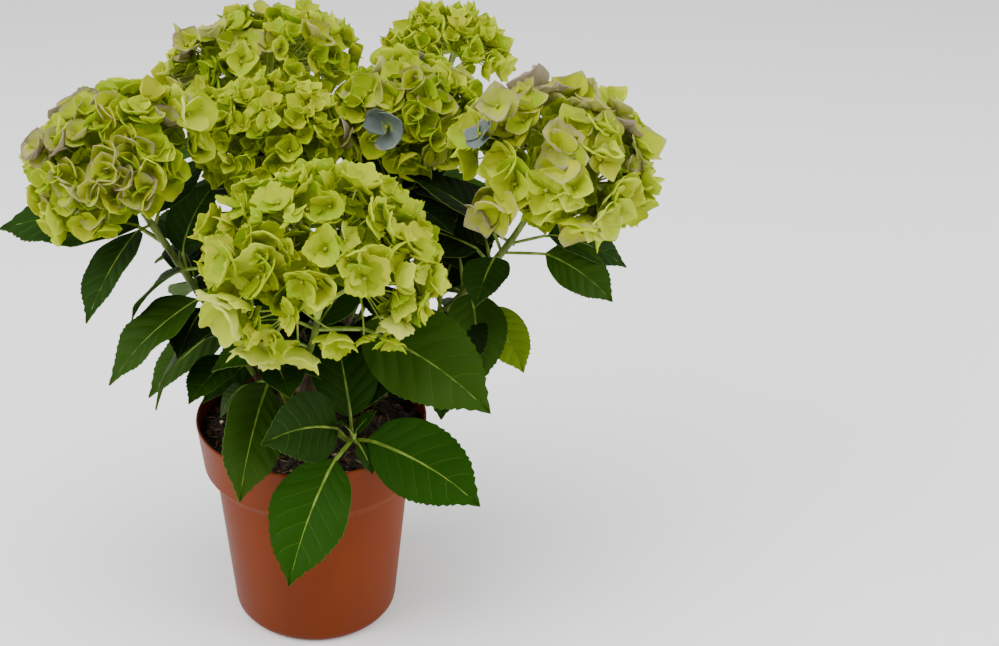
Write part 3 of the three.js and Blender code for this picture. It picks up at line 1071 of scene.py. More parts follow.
@dataclass(frozen=True)
class Head:
    """A flower head: where its dome stands, the axis that it faces and its half sizes."""

    centre: Triple
    axis: Triple
    half: Triple

    def frame(self) -> tuple[Array, Array, Array]:
        """The dome's own directions.

        Returns:
            The unit vectors of its side, its depth and its axis.
        """
        axis = unit(np.array(self.axis))
        side = unit(np.cross([0, 1, 0], axis))
        return side, np.cross(axis, side), axis


@dataclass(frozen=True)
class Leaf:
    """A leaf on a shoot: how far up it grows, its blade's azimuth and rise at the base, and its length.

    A roll turns the leaf about its midrib by so many degrees, its right margin down. The stalk is a
    share of the length.
    """

    at: float
    azimuth: float
    rise: float
    length: float
    tint: LeafTint = LeafTint.DEEP
    roll: float = 0
    stalk: float = 0.2


@dataclass(frozen=True)
class Shoot:
    """One shoot: its root on the trunk, its leaves, and its flower head or its bare tip.

    The stalk is how far below its head's middle it ends, as a share of the head. The split is where its
    bough ends, and the pull how hard its line keeps to its first and last directions.
    """

    name: str
    tier: Tier
    azimuth: float
    rise: float
    away: float
    leaves: tuple[Leaf, ...]
    head: Head | None = None
    tip: Triple | None = None
    stalk: float = 0.74
    split: float = 0.3
    taper: float = 0.8
    pull: float = 0.36

    def route(self, trunk: Trunk) -> Path:
        """The shoot's centre line, from the trunk's surface to its tip.

        Args:
            trunk: the trunk that it grows from.

        Returns:
            The line.
        """
        z, _ = self.tier.value
        leave = heading(self.azimuth, self.rise)
        if self.tier is Tier.HEAD:
            start = trunk.centre(z) + leave * (trunk.head_radius + self.away)
        else:
            start = trunk.centre(z) + heading(self.azimuth, 0) * (trunk.radius_at(z) + self.away)
        if self.head:
            arrive = self.head.frame()[2]
            tip = np.array(self.head.centre) - arrive * self.head.half[2] * self.stalk
        else:
            tip = np.array(self.tip)
            arrive = unit(unit(tip - start) + UP * 0.6)
        reach = np.linalg.norm(tip - start) * self.pull
        return Path.bezier([start, start + leave * reach, tip - arrive * reach, tip], 96)

    def thickness(self) -> tuple[float, float]:
        """The radii at the shoot's foot and where its bough becomes a leafy stem."""
        radius = self.tier.value[1]
        return radius, radius * self.taper


# Leaves dealt LeafTint.SHADY wear painted shade, for the dark hollow behind and under the heads on the right.
SHOOTS = (
    Shoot(
        "left", Tier.FLANK, 184, 42, 2.1,
        head=Head((-104, -20, 304), (-0.42, -0.25, 0.87), (52, 48, 45)),
        leaves=(
            Leaf(0.84, 163, 10, 90, LeafTint.DEEP, -20), Leaf(0.66, 14, 78, 46, LeafTint.DEEP, 60, 0.4),
            Leaf(0.94, -122, -18, 62, LeafTint.DEEP, 20), Leaf(0.92, 55, 40, 46), Leaf(0.6, 104, 16, 50),
            Leaf(0.6, -13, 0, 40), Leaf(0.74, 84, 12, 64),
        ),
    ),
    Shoot(
        "right", Tier.FLANK, -12, 42, 2.8,
        head=Head((133, -42, 308), (0.32, -0.32, 0.89), (55, 50, 48)),
        leaves=(
            Leaf(0.82, -24, -14, 46, LeafTint.MID, 40, 0.55), Leaf(0.82, 164, 48, 60, LeafTint.SHADY),
            Leaf(0.86, -2, -8, 50, LeafTint.DEEP, 20, 0.45), Leaf(0.8, -112, 0, 42),
            Leaf(0.65, -88, -24, 56, LeafTint.MID, 0, 0.12), Leaf(0.62, 98, 44, 68, LeafTint.SHADY),
            Leaf(0.5, 60, 50, 70, LeafTint.SHADY), Leaf(0.5, -120, -10, 50, LeafTint.DEEP, 30),
            Leaf(0.76, 100, 26, 60), Leaf(0.76, 172, 30, 62, LeafTint.SHADY, -30),
        ),
    ),
    Shoot(
        "front", Tier.FLANK, -118, 58, 2.8,
        head=Head((6, -78, 268), (0.03, -0.46, 0.88), (65, 54, 57)),
        leaves=(
            Leaf(0.88, -28, -8, 84, LeafTint.MID, 42, 0.34), Leaf(0.88, 160, -3, 60),
            Leaf(0.68, -150, 14, 54), Leaf(0.68, 53, 34, 60),
        ),
    ),
    Shoot(
        "middle", Tier.HEAD, 215, 66, 0.35,
        head=Head((-17, 8, 309), (-0.1, -0.25, 0.96), (43, 39, 34)),
        leaves=(
            Leaf(0.86, 170, 10, 56), Leaf(0.86, -10, 10, 50), Leaf(0.62, 110, 14, 62),
            Leaf(0.62, -80, 0, 46), Leaf(0.76, 62, 50, 60), Leaf(0.76, 128, 52, 60), Leaf(0.7, 88, 2, 68),
        ),
    ),
    Shoot(
        "middle_right", Tier.HEAD, -24, 62, 1.05,
        head=Head((61, 24, 313), (0.12, -0.2, 0.97), (41, 38, 35)),
        leaves=(
            Leaf(0.84, -28, 4, 60, LeafTint.SHADY), Leaf(0.84, 152, 10, 50),
            Leaf(0.62, 24, 54, 66, LeafTint.SHADY), Leaf(0.62, 200, 6, 50), Leaf(0.76, 110, 50, 60),
            Leaf(0.76, -64, 20, 60, LeafTint.SHADY), Leaf(0.7, 84, 4, 70),
        ),
    ),
    Shoot(
        "back_left", Tier.HEAD, 112, 56, 0.35,
        head=Head((-25, 92, 322), (-0.15, 0.05, 0.98), (60, 48, 40)),
        leaves=(
            Leaf(0.86, 182, 4, 72, LeafTint.MID), Leaf(0.86, 2, 8, 62, LeafTint.MID),
            Leaf(0.7, 100, -2, 78, LeafTint.MID), Leaf(0.7, 250, 13, 50, LeafTint.MID),
            Leaf(0.54, 172, -4, 76, LeafTint.MID), Leaf(0.54, 0, 13, 56, LeafTint.MID),
            Leaf(0.62, 52, 4, 66, LeafTint.MID), Leaf(0.62, 136, 2, 68, LeafTint.MID),
        ),
    ),
    Shoot(
        "back_right", Tier.HEAD, 42, 54, 0.7,
        head=Head((90, 104, 323), (0.12, 0.1, 0.98), (39, 37, 30)),
        leaves=(
            Leaf(0.88, 30, 6, 66, LeafTint.MID), Leaf(0.88, 206, 16, 60, LeafTint.MID),
            Leaf(0.7, 116, -6, 74, LeafTint.MID), Leaf(0.7, -50, 6, 60, LeafTint.MID),
            Leaf(0.52, 20, -6, 76, LeafTint.MID), Leaf(0.55, 190, 24, 50, LeafTint.MID),
            Leaf(0.62, 70, 4, 70, LeafTint.MID), Leaf(0.62, 152, 6, 64, LeafTint.MID),
        ),
    ),
    Shoot(
        "side_left", Tier.FOOT, 176, 40, 3.5,
        tip=(-53, -27, 250),
        leaves=(
            Leaf(0.98, 170, -30, 46, LeafTint.MID, 6, 0.4), Leaf(0.98, 10, 4, 40),
            Leaf(0.82, -157, -20, 70, LeafTint.MID), Leaf(0.82, 60, 20, 44),
            Leaf(0.68, -160, -40, 54, LeafTint.MID, 24, 0.34), Leaf(0.68, 100, 14, 50),
        ),
    ),
    Shoot(
        "side_right", Tier.FOOT, 12, 40, 1.75,
        tip=(98, -2, 212),
        leaves=(
            # The first leaf here wears PALE, a painted backlight.
            Leaf(0.96, -40, -32, 44, LeafTint.PALE, 42), Leaf(0.96, 166, 30, 40),
            Leaf(0.78, 62, -10, 68, LeafTint.MID), Leaf(0.78, -100, -30, 50, LeafTint.FRESH),
        ),
    ),
    Shoot(
        "front_left_low", Tier.FOOT, -140, 52, 1.75,
        tip=(-20, -32, 186),
        leaves=(
            Leaf(0.96, -110, -28, 70, LeafTint.MID, -52), Leaf(0.96, -80, 20, 42),
            Leaf(0.84, 172, -40, 27, LeafTint.MID, -20, 0.8), Leaf(0.84, 35, 16, 30),
        ),
    ),
    Shoot(
        "front_low", Tier.FOOT, -64, 22, 1.05,
        tip=(24, -54, 150),
        leaves=(
            Leaf(1, 24, 56, 18, LeafTint.FRESH), Leaf(1, 204, 62, 16, LeafTint.FRESH),
            Leaf(0.94, -126, -34, 76, LeafTint.FRESH, -12, 0.24), Leaf(0.94, 100, 54, 66),
            Leaf(0.9, -22, -8, 75, LeafTint.FRESH, 52, 0.14),
            Leaf(0.78, -133, 34, 66, LeafTint.DEEP, -64, 0.2), Leaf(0.97, -50, -34, 20),
        ),
    ),
    Shoot(
        "back_low_left", Tier.FOOT, 128, 34, 1.4,
        tip=(-40, 60, 196),
        leaves=(
            Leaf(1, 20, 56, 20, LeafTint.FRESH), Leaf(1, 200, 56, 20, LeafTint.FRESH),
            Leaf(0.94, 126, -14, 78, LeafTint.MID), Leaf(0.94, -50, 10, 38),
            Leaf(0.74, 206, -16, 72, LeafTint.MID), Leaf(0.74, 36, 0, 60),
        ),
    ),
    Shoot(
        "back_low_right", Tier.FOOT, 62, 34, 1.4,
        tip=(40, 62, 192),
        leaves=(
            Leaf(1, 130, 56, 20, LeafTint.FRESH), Leaf(1, 310, 56, 20, LeafTint.FRESH),
            Leaf(0.94, 60, -14, 78, LeafTint.MID), Leaf(0.94, 236, 10, 38),
            Leaf(0.74, 150, -26, 70, LeafTint.MID), Leaf(0.74, -26, -16, 70, LeafTint.MID),
        ),
    ),
)


@dataclass
class Limbs:
    """The woody boughs and the green leafy stems of all the shoots."""

    trunk: Trunk
    ridge: float = 0.09
    ring: float = 0.09
    sink: float = 0.12
    stem_taper: float = 0.2
    swelling: float = 0.22
    swelling_reach: float = 0.02
    bough_pattern: Pattern = field(default_factory=lambda: sleeve(14, 22))
    stem_pattern: Pattern = field(default_factory=lambda: sleeve(9, 26))

    def boughs(self, bark: Sequence[Material]) -> Piece:
        """The lower stretch of every shoot, in ridged bark.

        Args:
            bark: the bark's material.

        Returns:
            All the boughs as one piece.
        """
        gathered = Gathering()
        for number, shoot in enumerate(SHOOTS):
            thick, thin = shoot.thickness()
            grain = self.bough_pattern.points * (1.7, 1.7, 9) + (0, 0, 20 * number)
            ridge = np.array([noise(Vector(place)) for place in grain])

            def radius(at: Array) -> Array:
                """The bough's radius, with a ring where each old leaf stood."""
                ring = self.ring * np.exp(-(((at * 3 % 1) - 0.5) / 0.09) ** 2)
                return (thick + (thin - thick) * at) * (1 + self.ridge * ridge + ring) - self.sink

            points = wrapped(self.bough_pattern, shoot.route(self.trunk), radius, 0, shoot.split - 0.002)
            gathered.add(points, self.bough_pattern)
        nodes = [f"bough_{shoot.name}" for shoot in SHOOTS]
        return place(gathered.built("bough_bark", bark, crease=70), "stem", *nodes)

    def add_stem(self, shoot: Shoot, gathered: Gathering) -> None:
        """Adds a shoot's green stem, swollen at each pair of leaves.

        Args:
            shoot: the shoot.
            gathered: takes the stem.
        """
        _, thick = shoot.thickness()
        start = shoot.split
        joints = np.array(sorted({leaf.at for leaf in shoot.leaves}))

        def radius(at: Array) -> Array:
            """The stem's radius.

            Args:
                at: shares of the stem's stretch.

            Returns:
                The radius at each share.
            """
            away = (start + (1 - start) * at)[:, None] - joints[None, :]
            swell = np.exp(-((away / self.swelling_reach) ** 2)).max(axis=1)
            return thick * (1 - self.stem_taper * at) * (1 + self.swelling * swell)

        gathered.add(wrapped(self.stem_pattern, shoot.route(self.trunk), radius, start, 1), self.stem_pattern)


# ---------------------------------------------------------------- leaves


class BladeZone(IntEnum):
    """The zones of a leaf's blade."""

    UPPER = 0
    VEIN = 1
    UNDER = 2
    RIB = 3


@dataclass(frozen=True)
class LeafForm:
    """The blade that every leaf is bent from: ovate, pointed and toothed, with its veins as narrow strips.

    The pattern's x is the share along the midrib, y the share of the half width and z the height over
    the length.
    """

    veins: int = 6
    first_vein: float = 0.1
    last_vein: float = 0.76
    vein_half: float = 0.003
    between: int = 3
    tooth: float = 0.028
    toothed: tuple[float, float] = (0.12, 0.4)
    toothless: tuple[float, float] = (0.86, 0.96)
    base_marks: tuple[float, ...] = (0.0, 0.035, 0.07)
    tip_marks: tuple[float, ...] = (0.805, 0.85, 0.89, 0.93, 0.967, 1.0)
    rib: float = 0.038
    bulge: float = 0.015
    thickness: float = 0.007
    width_share: float = 0.6
    fold: float = 0.16
    droop: float = 34
    stalk_lift: float = 22
    columns: tuple[float, ...] = (0.03, 0.28, 0.54, 0.8, 1.0)
    steps: int = 24
    overrun: int = 2

    @property
    def vein_step(self) -> float:
        """The distance from vein to vein."""
        return (self.last_vein - self.first_vein) / (self.veins - 1)

    def lines(self) -> tuple[list[float], set[int]]:
        """The cross lines of the blade's grid.

        Returns:
            Their places along the midrib, from 0 to 1, and which strips between them are veins.
        """
        step = self.vein_step
        marks = list(self.base_marks)
        strips = set()
        for number in range(self.veins):
            middle = self.first_vein + step * number
            strips.add(len(marks))
            marks += [middle - self.vein_half, middle + self.vein_half]
            if number < self.veins - 1:
                marks += [middle + step * (k + 1) / (self.between + 1) for k in range(self.between)]
        return [*marks, *self.tip_marks], strips

    def outline(self, share: Array) -> Array:
        """The blade's outline.

        Args:
            share: shares of the midrib.

        Returns:
            The half width at each share, as a share of its greatest.
        """
        inside = np.clip(share, 0, 1)
        body = np.sin(math.pi * inside**0.8) ** 0.74 * (1 - 0.35 * inside**6)
        return body * (1 - 0.3 * smooth_share(inside, 0.72, 0.97))

    def pattern(self) -> Pattern:
        """Shapes a grid into the blade and gives it a thickness.

        Returns:
            The blade, in the zones of BladeZone.
        """
        marks, strips = self.lines()
        across = [-c for c in reversed(self.columns)] + list(self.columns)
        rows, columns = len(marks) - 1, len(across) - 1
        mesh = bmesh.new()
        bmesh.ops.create_grid(mesh, x_segments=rows, y_segments=columns, size=1)
        for face in mesh.faces:
            middle = face.calc_center_median()
            strip = int((middle.x + 1) / 2 * rows)
            column = int((middle.y + 1) / 2 * columns)
            is_rib = column == len(self.columns) - 1
            is_vein = strip in strips and column not in (0, columns - 1)
            upper = BladeZone.VEIN if is_vein else BladeZone.UPPER
            face.material_index = BladeZone.RIB if is_rib else upper
        for corner in mesh.verts:
            line = round((corner.co.x + 1) / 2 * rows)
            column = across[round((corner.co.y + 1) / 2 * columns)]
            corner.co = self.shaped(marks[line], column, line if 0 < line < rows else None)
        return thickened(mesh, self.thickness, BladeZone.UNDER)

    def shaped(self, mark: float, column: float, tooth_line: int | None) -> Triple:
        """Where a corner of the grid comes to lie in the blade.

        Args:
            mark: the place of its cross line.
            column: its place across, from -1 at one margin to 1 at the other.
            tooth_line: the number of its cross line, or None at the base and the tip.

        Returns:
            The share along the midrib, the share of the half width and the height.
        """
        reach = abs(column)
        low, high = mark**1.5, mark**0.74
        share = low + (high - low) * reach
        rib = self.rib * (1 - mark) ** 0.8 + 0.003
        outer = (reach - self.columns[0]) / (1 - self.columns[0])
        side = rib + outer * max(float(self.outline(np.array(share))) - rib, 0.004)
        if reach == 1.0 and tooth_line is not None:
            grown = smooth_share(mark, *self.toothed) * (1 - smooth_share(mark, *self.toothless))
            tooth = self.tooth * float(grown)
            side += tooth if tooth_line % 2 else -0.3 * tooth
            share += 0.3 * tooth if tooth_line % 2 else 0
        phase = (mark - self.first_vein) / self.vein_step
        swell = abs(math.sin(math.pi * phase)) ** 0.8 if mark > 0.05 else 0.3
        relief = self.bulge * swell * math.sin(math.pi * min(reach, 0.97)) ** 0.7
        relief -= self.bulge * 0.25 if outer == 0 else 0
        return share, math.copysign(side, column), relief

    def midrib(self, base: Array, leaf: Leaf) -> Path:
        """The blade's midrib, which bends down evenly from its base to a little past its tip.

        Args:
            base: where the blade starts.
            leaf: the leaf.

        Returns:
            The midrib as a path.
        """
        pitch = leaf.rise - self.droop * (np.arange(self.steps + self.overrun) + 0.5) / self.steps
        way = heading(leaf.azimuth, pitch) * leaf.length / self.steps
        points = base + np.concatenate([np.zeros((1, 3)), np.cumsum(way, axis=0)])
        return Path(points)

    def bent(self, pattern: Pattern, base: Array, leaf: Leaf, wave: Array) -> Array:
        """Bends the blade along its midrib.

        Args:
            pattern: the blade.
            base: where the blade starts.
            leaf: the leaf's direction, length and roll.
            wave: the margins' waves: depth over the length, number and phase.

        Returns:
            The blade's points in millimetres.
        """
        share, side, relief = pattern.points.T
        midrib = self.midrib(base, leaf)
        whole = (self.steps + self.overrun) / self.steps
        roll = math.radians(leaf.roll)
        level = heading(leaf.azimuth + 90, 0)
        upright = heading(leaf.azimuth, leaf.rise - self.droop * share + 90)
        across = level * math.cos(roll) + upright * math.sin(roll)
        normal = upright * math.cos(roll) - level * math.sin(roll)
        half = leaf.length * self.width_share / 2
        depth, number, phase = wave
        ripple = depth * leaf.length * side**2 * np.sin(FULL_TURN * number * share + phase + np.sign(side))
        lift = np.abs(side) * half * self.fold + relief * leaf.length + ripple
        return midrib.at(share / whole) + across * (side * half)[:, None] + normal * lift[:, None]


@dataclass
class Foliage:
    """All the leaves with their stalks, on every shoot."""

    trunk: Trunk
    limbs: Limbs
    form: LeafForm = field(default_factory=LeafForm)
    seed: int = 7
    stalk_radius: float = 1.25
    stalk_sizes: tuple[float, float] = (0.8, 1.15)
    stalk_hold: float = 0.7
    stalk_thin_by: float = 0.8
    keel: tuple[float, float] = (0.03, 0.8)
    keel_radius: float = 0.22
    keel_drop: float = 0.35
    usual_length: float = 76
    inner_ats: tuple[float, ...] = (0.42, 0.52)
    inner_rise: float = 4
    waves: tuple[tuple[float, float], ...] = ((0.01, 0.028), (1.2, 2.6), (0, 6.28))

    def inner_leaves(self, shoot: Shoot, number: int) -> list[Leaf]:
        """Smaller leaves lower down a shoot, in crossed pairs.

        Args:
            shoot: the shoot that they grow on.
            number: the shoot's number, which turns its pairs.

        Returns:
            The leaves.
        """
        if shoot.name.startswith("front"):
            return []
        found = []
        # Inner leaves under a flower head wear SHADY, a painted shade; the others wear DEEP.
        tint = LeafTint.SHADY if shoot.head else LeafTint.DEEP
        for rank, at in enumerate(self.inner_ats):
            turn = shoot.leaves[0].azimuth + 90 * rank + 35 * number
            length = 40 + 6 * ((number + rank) % 3)
            found += [Leaf(at, turn + 180 * k, self.inner_rise, length, tint) for k in range(2)]
        return found

    def build(self) -> list[Piece]:
        """Grows every leaf.

        Returns:
            The leaves and the green stems.
        """
        random = np.random.default_rng(self.seed)
        blade = self.form.pattern()
        stalk = sleeve(6, 10)
        leaves, stems = Gathering(), Gathering()
        for number, shoot in enumerate(SHOOTS):
            route = shoot.route(self.trunk)
            self.limbs.add_stem(shoot, stems)
            for leaf in [*shoot.leaves, *self.inner_leaves(shoot, number)]:
                node = route.at(leaf.at)
                lean = heading(leaf.azimuth, leaf.rise + self.form.stalk_lift)
                base = node + lean * leaf.length * leaf.stalk
                wave = np.array([random.uniform(*span) for span in self.waves])
                leaves.add(self.form.bent(blade, base, leaf, wave), blade, self.palette(leaf.tint))
                stems.add(self.stalk(stalk, node, base, leaf), stalk, (1,))
        nodes = [f"foliage_{shoot.name}" for shoot in SHOOTS]
        green = [GREEN_STEM.material(), LEAF_STALK.material()]
        return [
            place(leaves.built("leaf_blades", leaf_materials()), "leaf", *nodes),
            place(stems.built("leafy_stems", green), "stem", *nodes),
        ]

    def palette(self, tint: LeafTint) -> tuple[int, ...]:
        """The tints of a leaf's upper face, side veins, underside and midrib.

        Args:
            tint: the leaf's own tint.

        Returns:
            The tint of each zone of the blade.
        """
        # Leaves in painted shade (SHADY) keep dark veins and a dim midrib.
        veins = {LeafTint.PALE: LeafTint.VEIN, LeafTint.SHADY: LeafTint.DEEP}
        is_dark = tint in (LeafTint.DEEP, LeafTint.SHADY)
        rib = LeafTint.DIM_VEIN if is_dark else LeafTint.VEIN
        return tint, veins.get(tint, LeafTint.DIM_VEIN), LeafTint.BACK, rib

    def stalk(self, pattern: Pattern, node: Array, base: Array, leaf: Leaf) -> Array:
        """The leaf's stalk, which runs on under the blade as the midrib's keel.

        Args:
            pattern: the sleeve that it is wrapped from.
            node: where it leaves the stem.
            base: where the blade starts.
            leaf: the leaf.

        Returns:
            The stalk's points in millimetres.
        """
        rib = self.form.midrib(base, leaf).at(np.linspace(*self.keel, 12))
        curve = Path.bezier([node, base, rib[0]], 10).points
        size = leaf.length / self.usual_length
        down = UP * self.keel_drop * size
        path = Path(np.concatenate([curve, rib[1:] - down]))
        least, most = self.stalk_sizes
        thick, thin = self.stalk_radius * min(max(size, least), most), self.keel_radius * size
        hold = self.stalk_hold * (np.linalg.norm(base - node) / path.length)

        def radius(share: Array) -> Array:
            """The stalk's radius, thin along the blade."""
            past = np.clip((share - hold) / (self.stalk_thin_by - hold), 0, 1)
            return thin + (thick - thin) * (1 - past) ** 0.8

        return wrapped(pattern, path, radius)


# ---------------------------------------------------------------- flower heads


class SepalZone(IntEnum):
    """The zones of a sepal, in the order of a mood's tints. The first three follow one another outwards."""

    HEART = 0
    INNER = 1
    OUTER = 2
    EDGE = 3
    BACK = 4


@dataclass(frozen=True)
class SepalForm:
    """A sepal's outline and curl. Lengths are shares of the sepal's length.

    The pattern's x is the share along the sepal, y the place across it and z the height, over its length.
    """

    width: float
    point: float
    teeth: float
    rise: tuple[float, float]
    curl: float
    rows: int = 6
    thickness: float = 0.018
    widest: float = 0.45
    crease: float = 0.045
    claw: float = 0.14
    narrowest: float = 0.02
    row_crowding: float = 0.86
    zones_from: tuple[float, float] = (0.22, 0.58)
    zone_bow: float = 0.13
    ripples: float = 7
    steps: int = 16
    across: tuple[float, ...] = (-1.0, -0.84, -0.42, 0.0, 0.42, 0.84, 1.0)

    def half_width(self, share: float) -> float:
        """The half width at a share of the length.

        Args:
            share: the share, from 0 at the foot to 1 at the tip.

        Returns:
            The half width as a share of the length.
        """
        opening = math.sin(math.pi / 2 * min(share / self.widest, 1)) ** 0.6
        past = max(share - self.widest, 0) / (1 - self.widest)
        closing = (1 - past ** (2.3 - 0.8 * self.point)) ** (0.5 + 0.45 * self.point)
        return self.width * max(opening * closing, self.claw * (1 - share), self.narrowest)

    def pattern(self) -> Pattern:
        """Shapes a grid into the sepal and gives it a thickness.

        Returns:
            The sepal, in the zones of SepalZone.
        """
        mesh = bmesh.new()
        columns = len(self.across) - 1
        bmesh.ops.create_grid(mesh, x_segments=self.rows, y_segments=columns, size=1)
        for face in mesh.faces:
            middle = face.calc_center_median()
            row = int((middle.x + 1) / 2 * self.rows)
            column = int((middle.y + 1) / 2 * columns)
            at_edge = column in (0, columns - 1) or row == self.rows - 1
            reach = row / self.rows + self.zone_bow * abs(column - (columns - 1) / 2)
            zone = SepalZone(sum(reach > start for start in self.zones_from))
            face.material_index = SepalZone.EDGE if at_edge and row > 1 else zone
        for corner in mesh.verts:
            row = round((corner.co.x + 1) / 2 * self.rows)
            column = self.across[round((corner.co.y + 1) / 2 * columns)]
            share = (row / self.rows) ** self.row_crowding
            side = column * self.half_width(share)
            if abs(column) == 1 and 1 < row < self.rows:
                side *= 1 + (self.teeth if row % 2 else -self.teeth)
                share += 0.5 * self.teeth * (row % 2)
            fold = math.cos(2.4 * math.pi * column) * math.sin(math.pi * min(share, 1) ** 0.8)
            corner.co = (share, side, -self.crease * fold)
        return thickened(mesh, self.thickness, SepalZone.BACK)

    def bent(
        self, pattern: Pattern, length: float, rise: float, curl: float, wave: tuple[float, float]
    ) -> Array:
        """Bends the sepal, with its foot at the origin and its length out along +X.

        Args:
            pattern: the sepal.
            length: its length in millimetres.
            rise: degrees added to the form's own rise.
            curl: how far its sides stand above its middle.
            wave: the margins' wave: its depth and its phase in radians.

        Returns:
            The sepal's points in millimetres.
        """
        share, side, height = pattern.points.T
        first, last = self.rise
        along = (np.arange(self.steps) + 0.5) / self.steps
        pitch = np.radians(first + (last - first) * along + rise)
        out = np.concatenate([[0], np.cumsum(np.cos(pitch))]) / self.steps
        up = np.concatenate([[0], np.cumsum(np.sin(pitch))]) / self.steps
        marks = np.linspace(0, 1, self.steps + 1)
        slope = np.radians(first + (last - first) * share + rise)
        margin = np.abs(side) / self.width
        ripple = wave[0] * margin * share * np.sin(self.ripples * share + wave[1] + 2 * np.sign(side))
        lift = height + curl * side**2 / self.width + ripple
        x = np.interp(share, marks, out) - np.sin(slope) * lift
        z = np.interp(share, marks, up) + np.cos(slope) * lift
        return np.stack([x, side, z], axis=-1) * length


class SepalStyle(Enum):
    """The sepals of the plant's heads: bowls, young and pointed, spiky, star-like, or broad and toothed."""

    BOWL = SepalForm(0.6, 0.4, 0.0, (20, 60), 0.55)
    YOUNG = SepalForm(0.54, 1.1, 0.02, (18, 58), 0.5)
    SPIKY = SepalForm(0.46, 1.3, 0.0, (34, 70), 0.5)
    STAR = SepalForm(0.58, 1.15, 0.02, (10, 44), 0.45)
    BROAD = SepalForm(0.6, 1.3, 0.065, (8, 50), 0.35, rows=10)


@dataclass(frozen=True)
class Floret:
    """One floret: its centre, the way that it faces, its radius and its mood."""

    centre: Array
    outward: Array
    radius: float
    mood: Mood


@dataclass(frozen=True)
class Extra:
    """A floret listed one by one: its place from its head's centre, the way that it faces, its size and mood.
    """

    offset: Triple
    azimuth: float
    rise: float
    radius: float
    mood: Mood

    def floret(self, centre: Array) -> Floret:
        """The floret in a head with a given centre."""
        return Floret(centre + self.offset, heading(self.azimuth, self.rise), self.radius, self.mood)


@dataclass(frozen=True)
class HeadLook:
    """What a flower head's florets look like, and how their moods are dealt out.

    The gap is a place left open: its azimuth, its rise and how many degrees it reaches.
    """

    style: SepalStyle
    florets: int
    radius: float
    moods: dict[Mood, float]
    top_moods: dict[Mood, float] = field(default_factory=dict)
    ruffle: float = 18
    sizes: tuple[float, float] = (0.76, 1.1)
    lowest: float = 114
    shift: Triple = (0, 0, 0)
    spread: float = 1
    gap: Triple | None = None
    extras: tuple[Extra, ...] = ()

    def is_gap(self, outward: Array) -> bool:
        """Whether a direction from the head's centre falls in its gap.

        Args:
            outward: the direction.

        Returns:
            True in the gap.
        """
        if self.gap is None:
            return False
        azimuth, rise, reach = self.gap
        return bool(outward @ heading(azimuth, rise) > math.cos(math.radians(reach)))


def moods(**shares: float) -> dict[Mood, float]:
    """How often each mood is dealt, by its name."""
    return {Mood[name]: share for name, share in shares.items()}


HEAD_LOOKS = {
    "left": HeadLook(
        SepalStyle.BOWL, 122, 13.2,
        moods(DEEP=2, LIME=5, FRESH=3, DUSTY=2.4, BLUSH=0.5),
        moods(DUSTY=4, BLUSH=2.4, LIME=4, FRESH=2),
        ruffle=22, lowest=98, shift=(5, 0, 1.5), spread=0.94,
        extras=(
            Extra((-38, -14, 16), -165, 30, 12, Mood.BLUSH), Extra((14, -38, 0), -80, 10, 14, Mood.BLUSH),
            Extra((38, -10, 32), -50, 34, 16, Mood.RIPE), Extra((8, -40, 8), -90, 14, 11, Mood.BLUSH),
        ),
    ),
    "right": HeadLook(
        SepalStyle.STAR, 112, 14.6,
        moods(LIME=5, FRESH=5, RIPE=1, DUSTY=3.4, BLUSH=0.5),
        moods(DUSTY=5, BLUSH=2.6, FRESH=3),
        ruffle=26, sizes=(0.72, 1.15), lowest=106, shift=(-1, 0, 0), spread=0.96,
        extras=(
            Extra((-34, -20, 40), -120, 62, 13, Mood.BLUSH), Extra((-33, -36, -8), -122, -6, 17, Mood.DUSTY),
            Extra((-38, -30, -14), -150, -20, 13, Mood.BLUSH), Extra((5, -40, -13), -84, -44, 15, Mood.FRESH),
            Extra((-42, -22, 26), -146, 36, 12, Mood.STEELY),
        ),
    ),
    "front": HeadLook(
        SepalStyle.BROAD, 156, 12.4, moods(DEEP=5, LIME=6, FRESH=3.5, RIPE=0.8),
        ruffle=46, sizes=(0.6, 1.3), lowest=98, gap=(-78, -16, 26),
        extras=(
            Extra((-34, -20, -32), -106, -40, 18, Mood.RIPE), Extra((-12, -24, -32), -88, -42, 18, Mood.RIPE),
            Extra((8, -30, -22), -76, -26, 17, Mood.FRESH), Extra((22, -30, -24), -70, -6, 9, Mood.FRESH),
            Extra((38, -30, -13), -58, -44, 16, Mood.RIPE), Extra((-45, -28, -3), -128, 4, 22, Mood.RIPE),
            Extra((-28, -32, 14), -112, 26, 22, Mood.RIPE), Extra((-44, -24, 17), -150, 34, 18, Mood.FRESH),
            Extra((-23, -27, 28), -102, 34, 16, Mood.FRESH), Extra((56, -24, 4), -24, 2, 13, Mood.FRESH),
            Extra((50, -32, -6), -44, -14, 13, Mood.LIME),
        ),
    ),
    "middle": HeadLook(
        SepalStyle.YOUNG, 150, 11, moods(DEEP=3, LIME=6, FRESH=3), ruffle=28, lowest=124,
        shift=(0, 0, -1),
    ),
    "middle_right": HeadLook(
        SepalStyle.BOWL, 106, 12.4,
        moods(DEEP=2, LIME=5, FRESH=4, DUSTY=1.2),
        moods(DUSTY=3, BLUSH=1, LIME=4, FRESH=3), ruffle=22,
        extras=(
            Extra((-15, -35, 8), -104, 30, 16, Mood.STEELY), Extra((-36, -26, 2), -140, 14, 11, Mood.BLUSH),
        ),
    ),
    "back_left": HeadLook(
        SepalStyle.YOUNG, 136, 12.6, moods(LIME=5, FRESH=5, RIPE=1, DUSTY=1.4),
        moods(LIME=4, FRESH=4, DUSTY=3, BLUSH=0.7), ruffle=28, shift=(0, 0, -1.5),
        extras=(
            Extra((-42, -14, 22), -160, 50, 13, Mood.BLUSH), Extra((-24, -26, 30), -130, 55, 13, Mood.DUSTY),
        ),
    ),
    "back_right": HeadLook(
        SepalStyle.SPIKY, 92, 11.6, moods(DEEP=2, FRESH=5, LIME=6), ruffle=30, sizes=(0.8, 1.2),
        lowest=92,
    ),
}


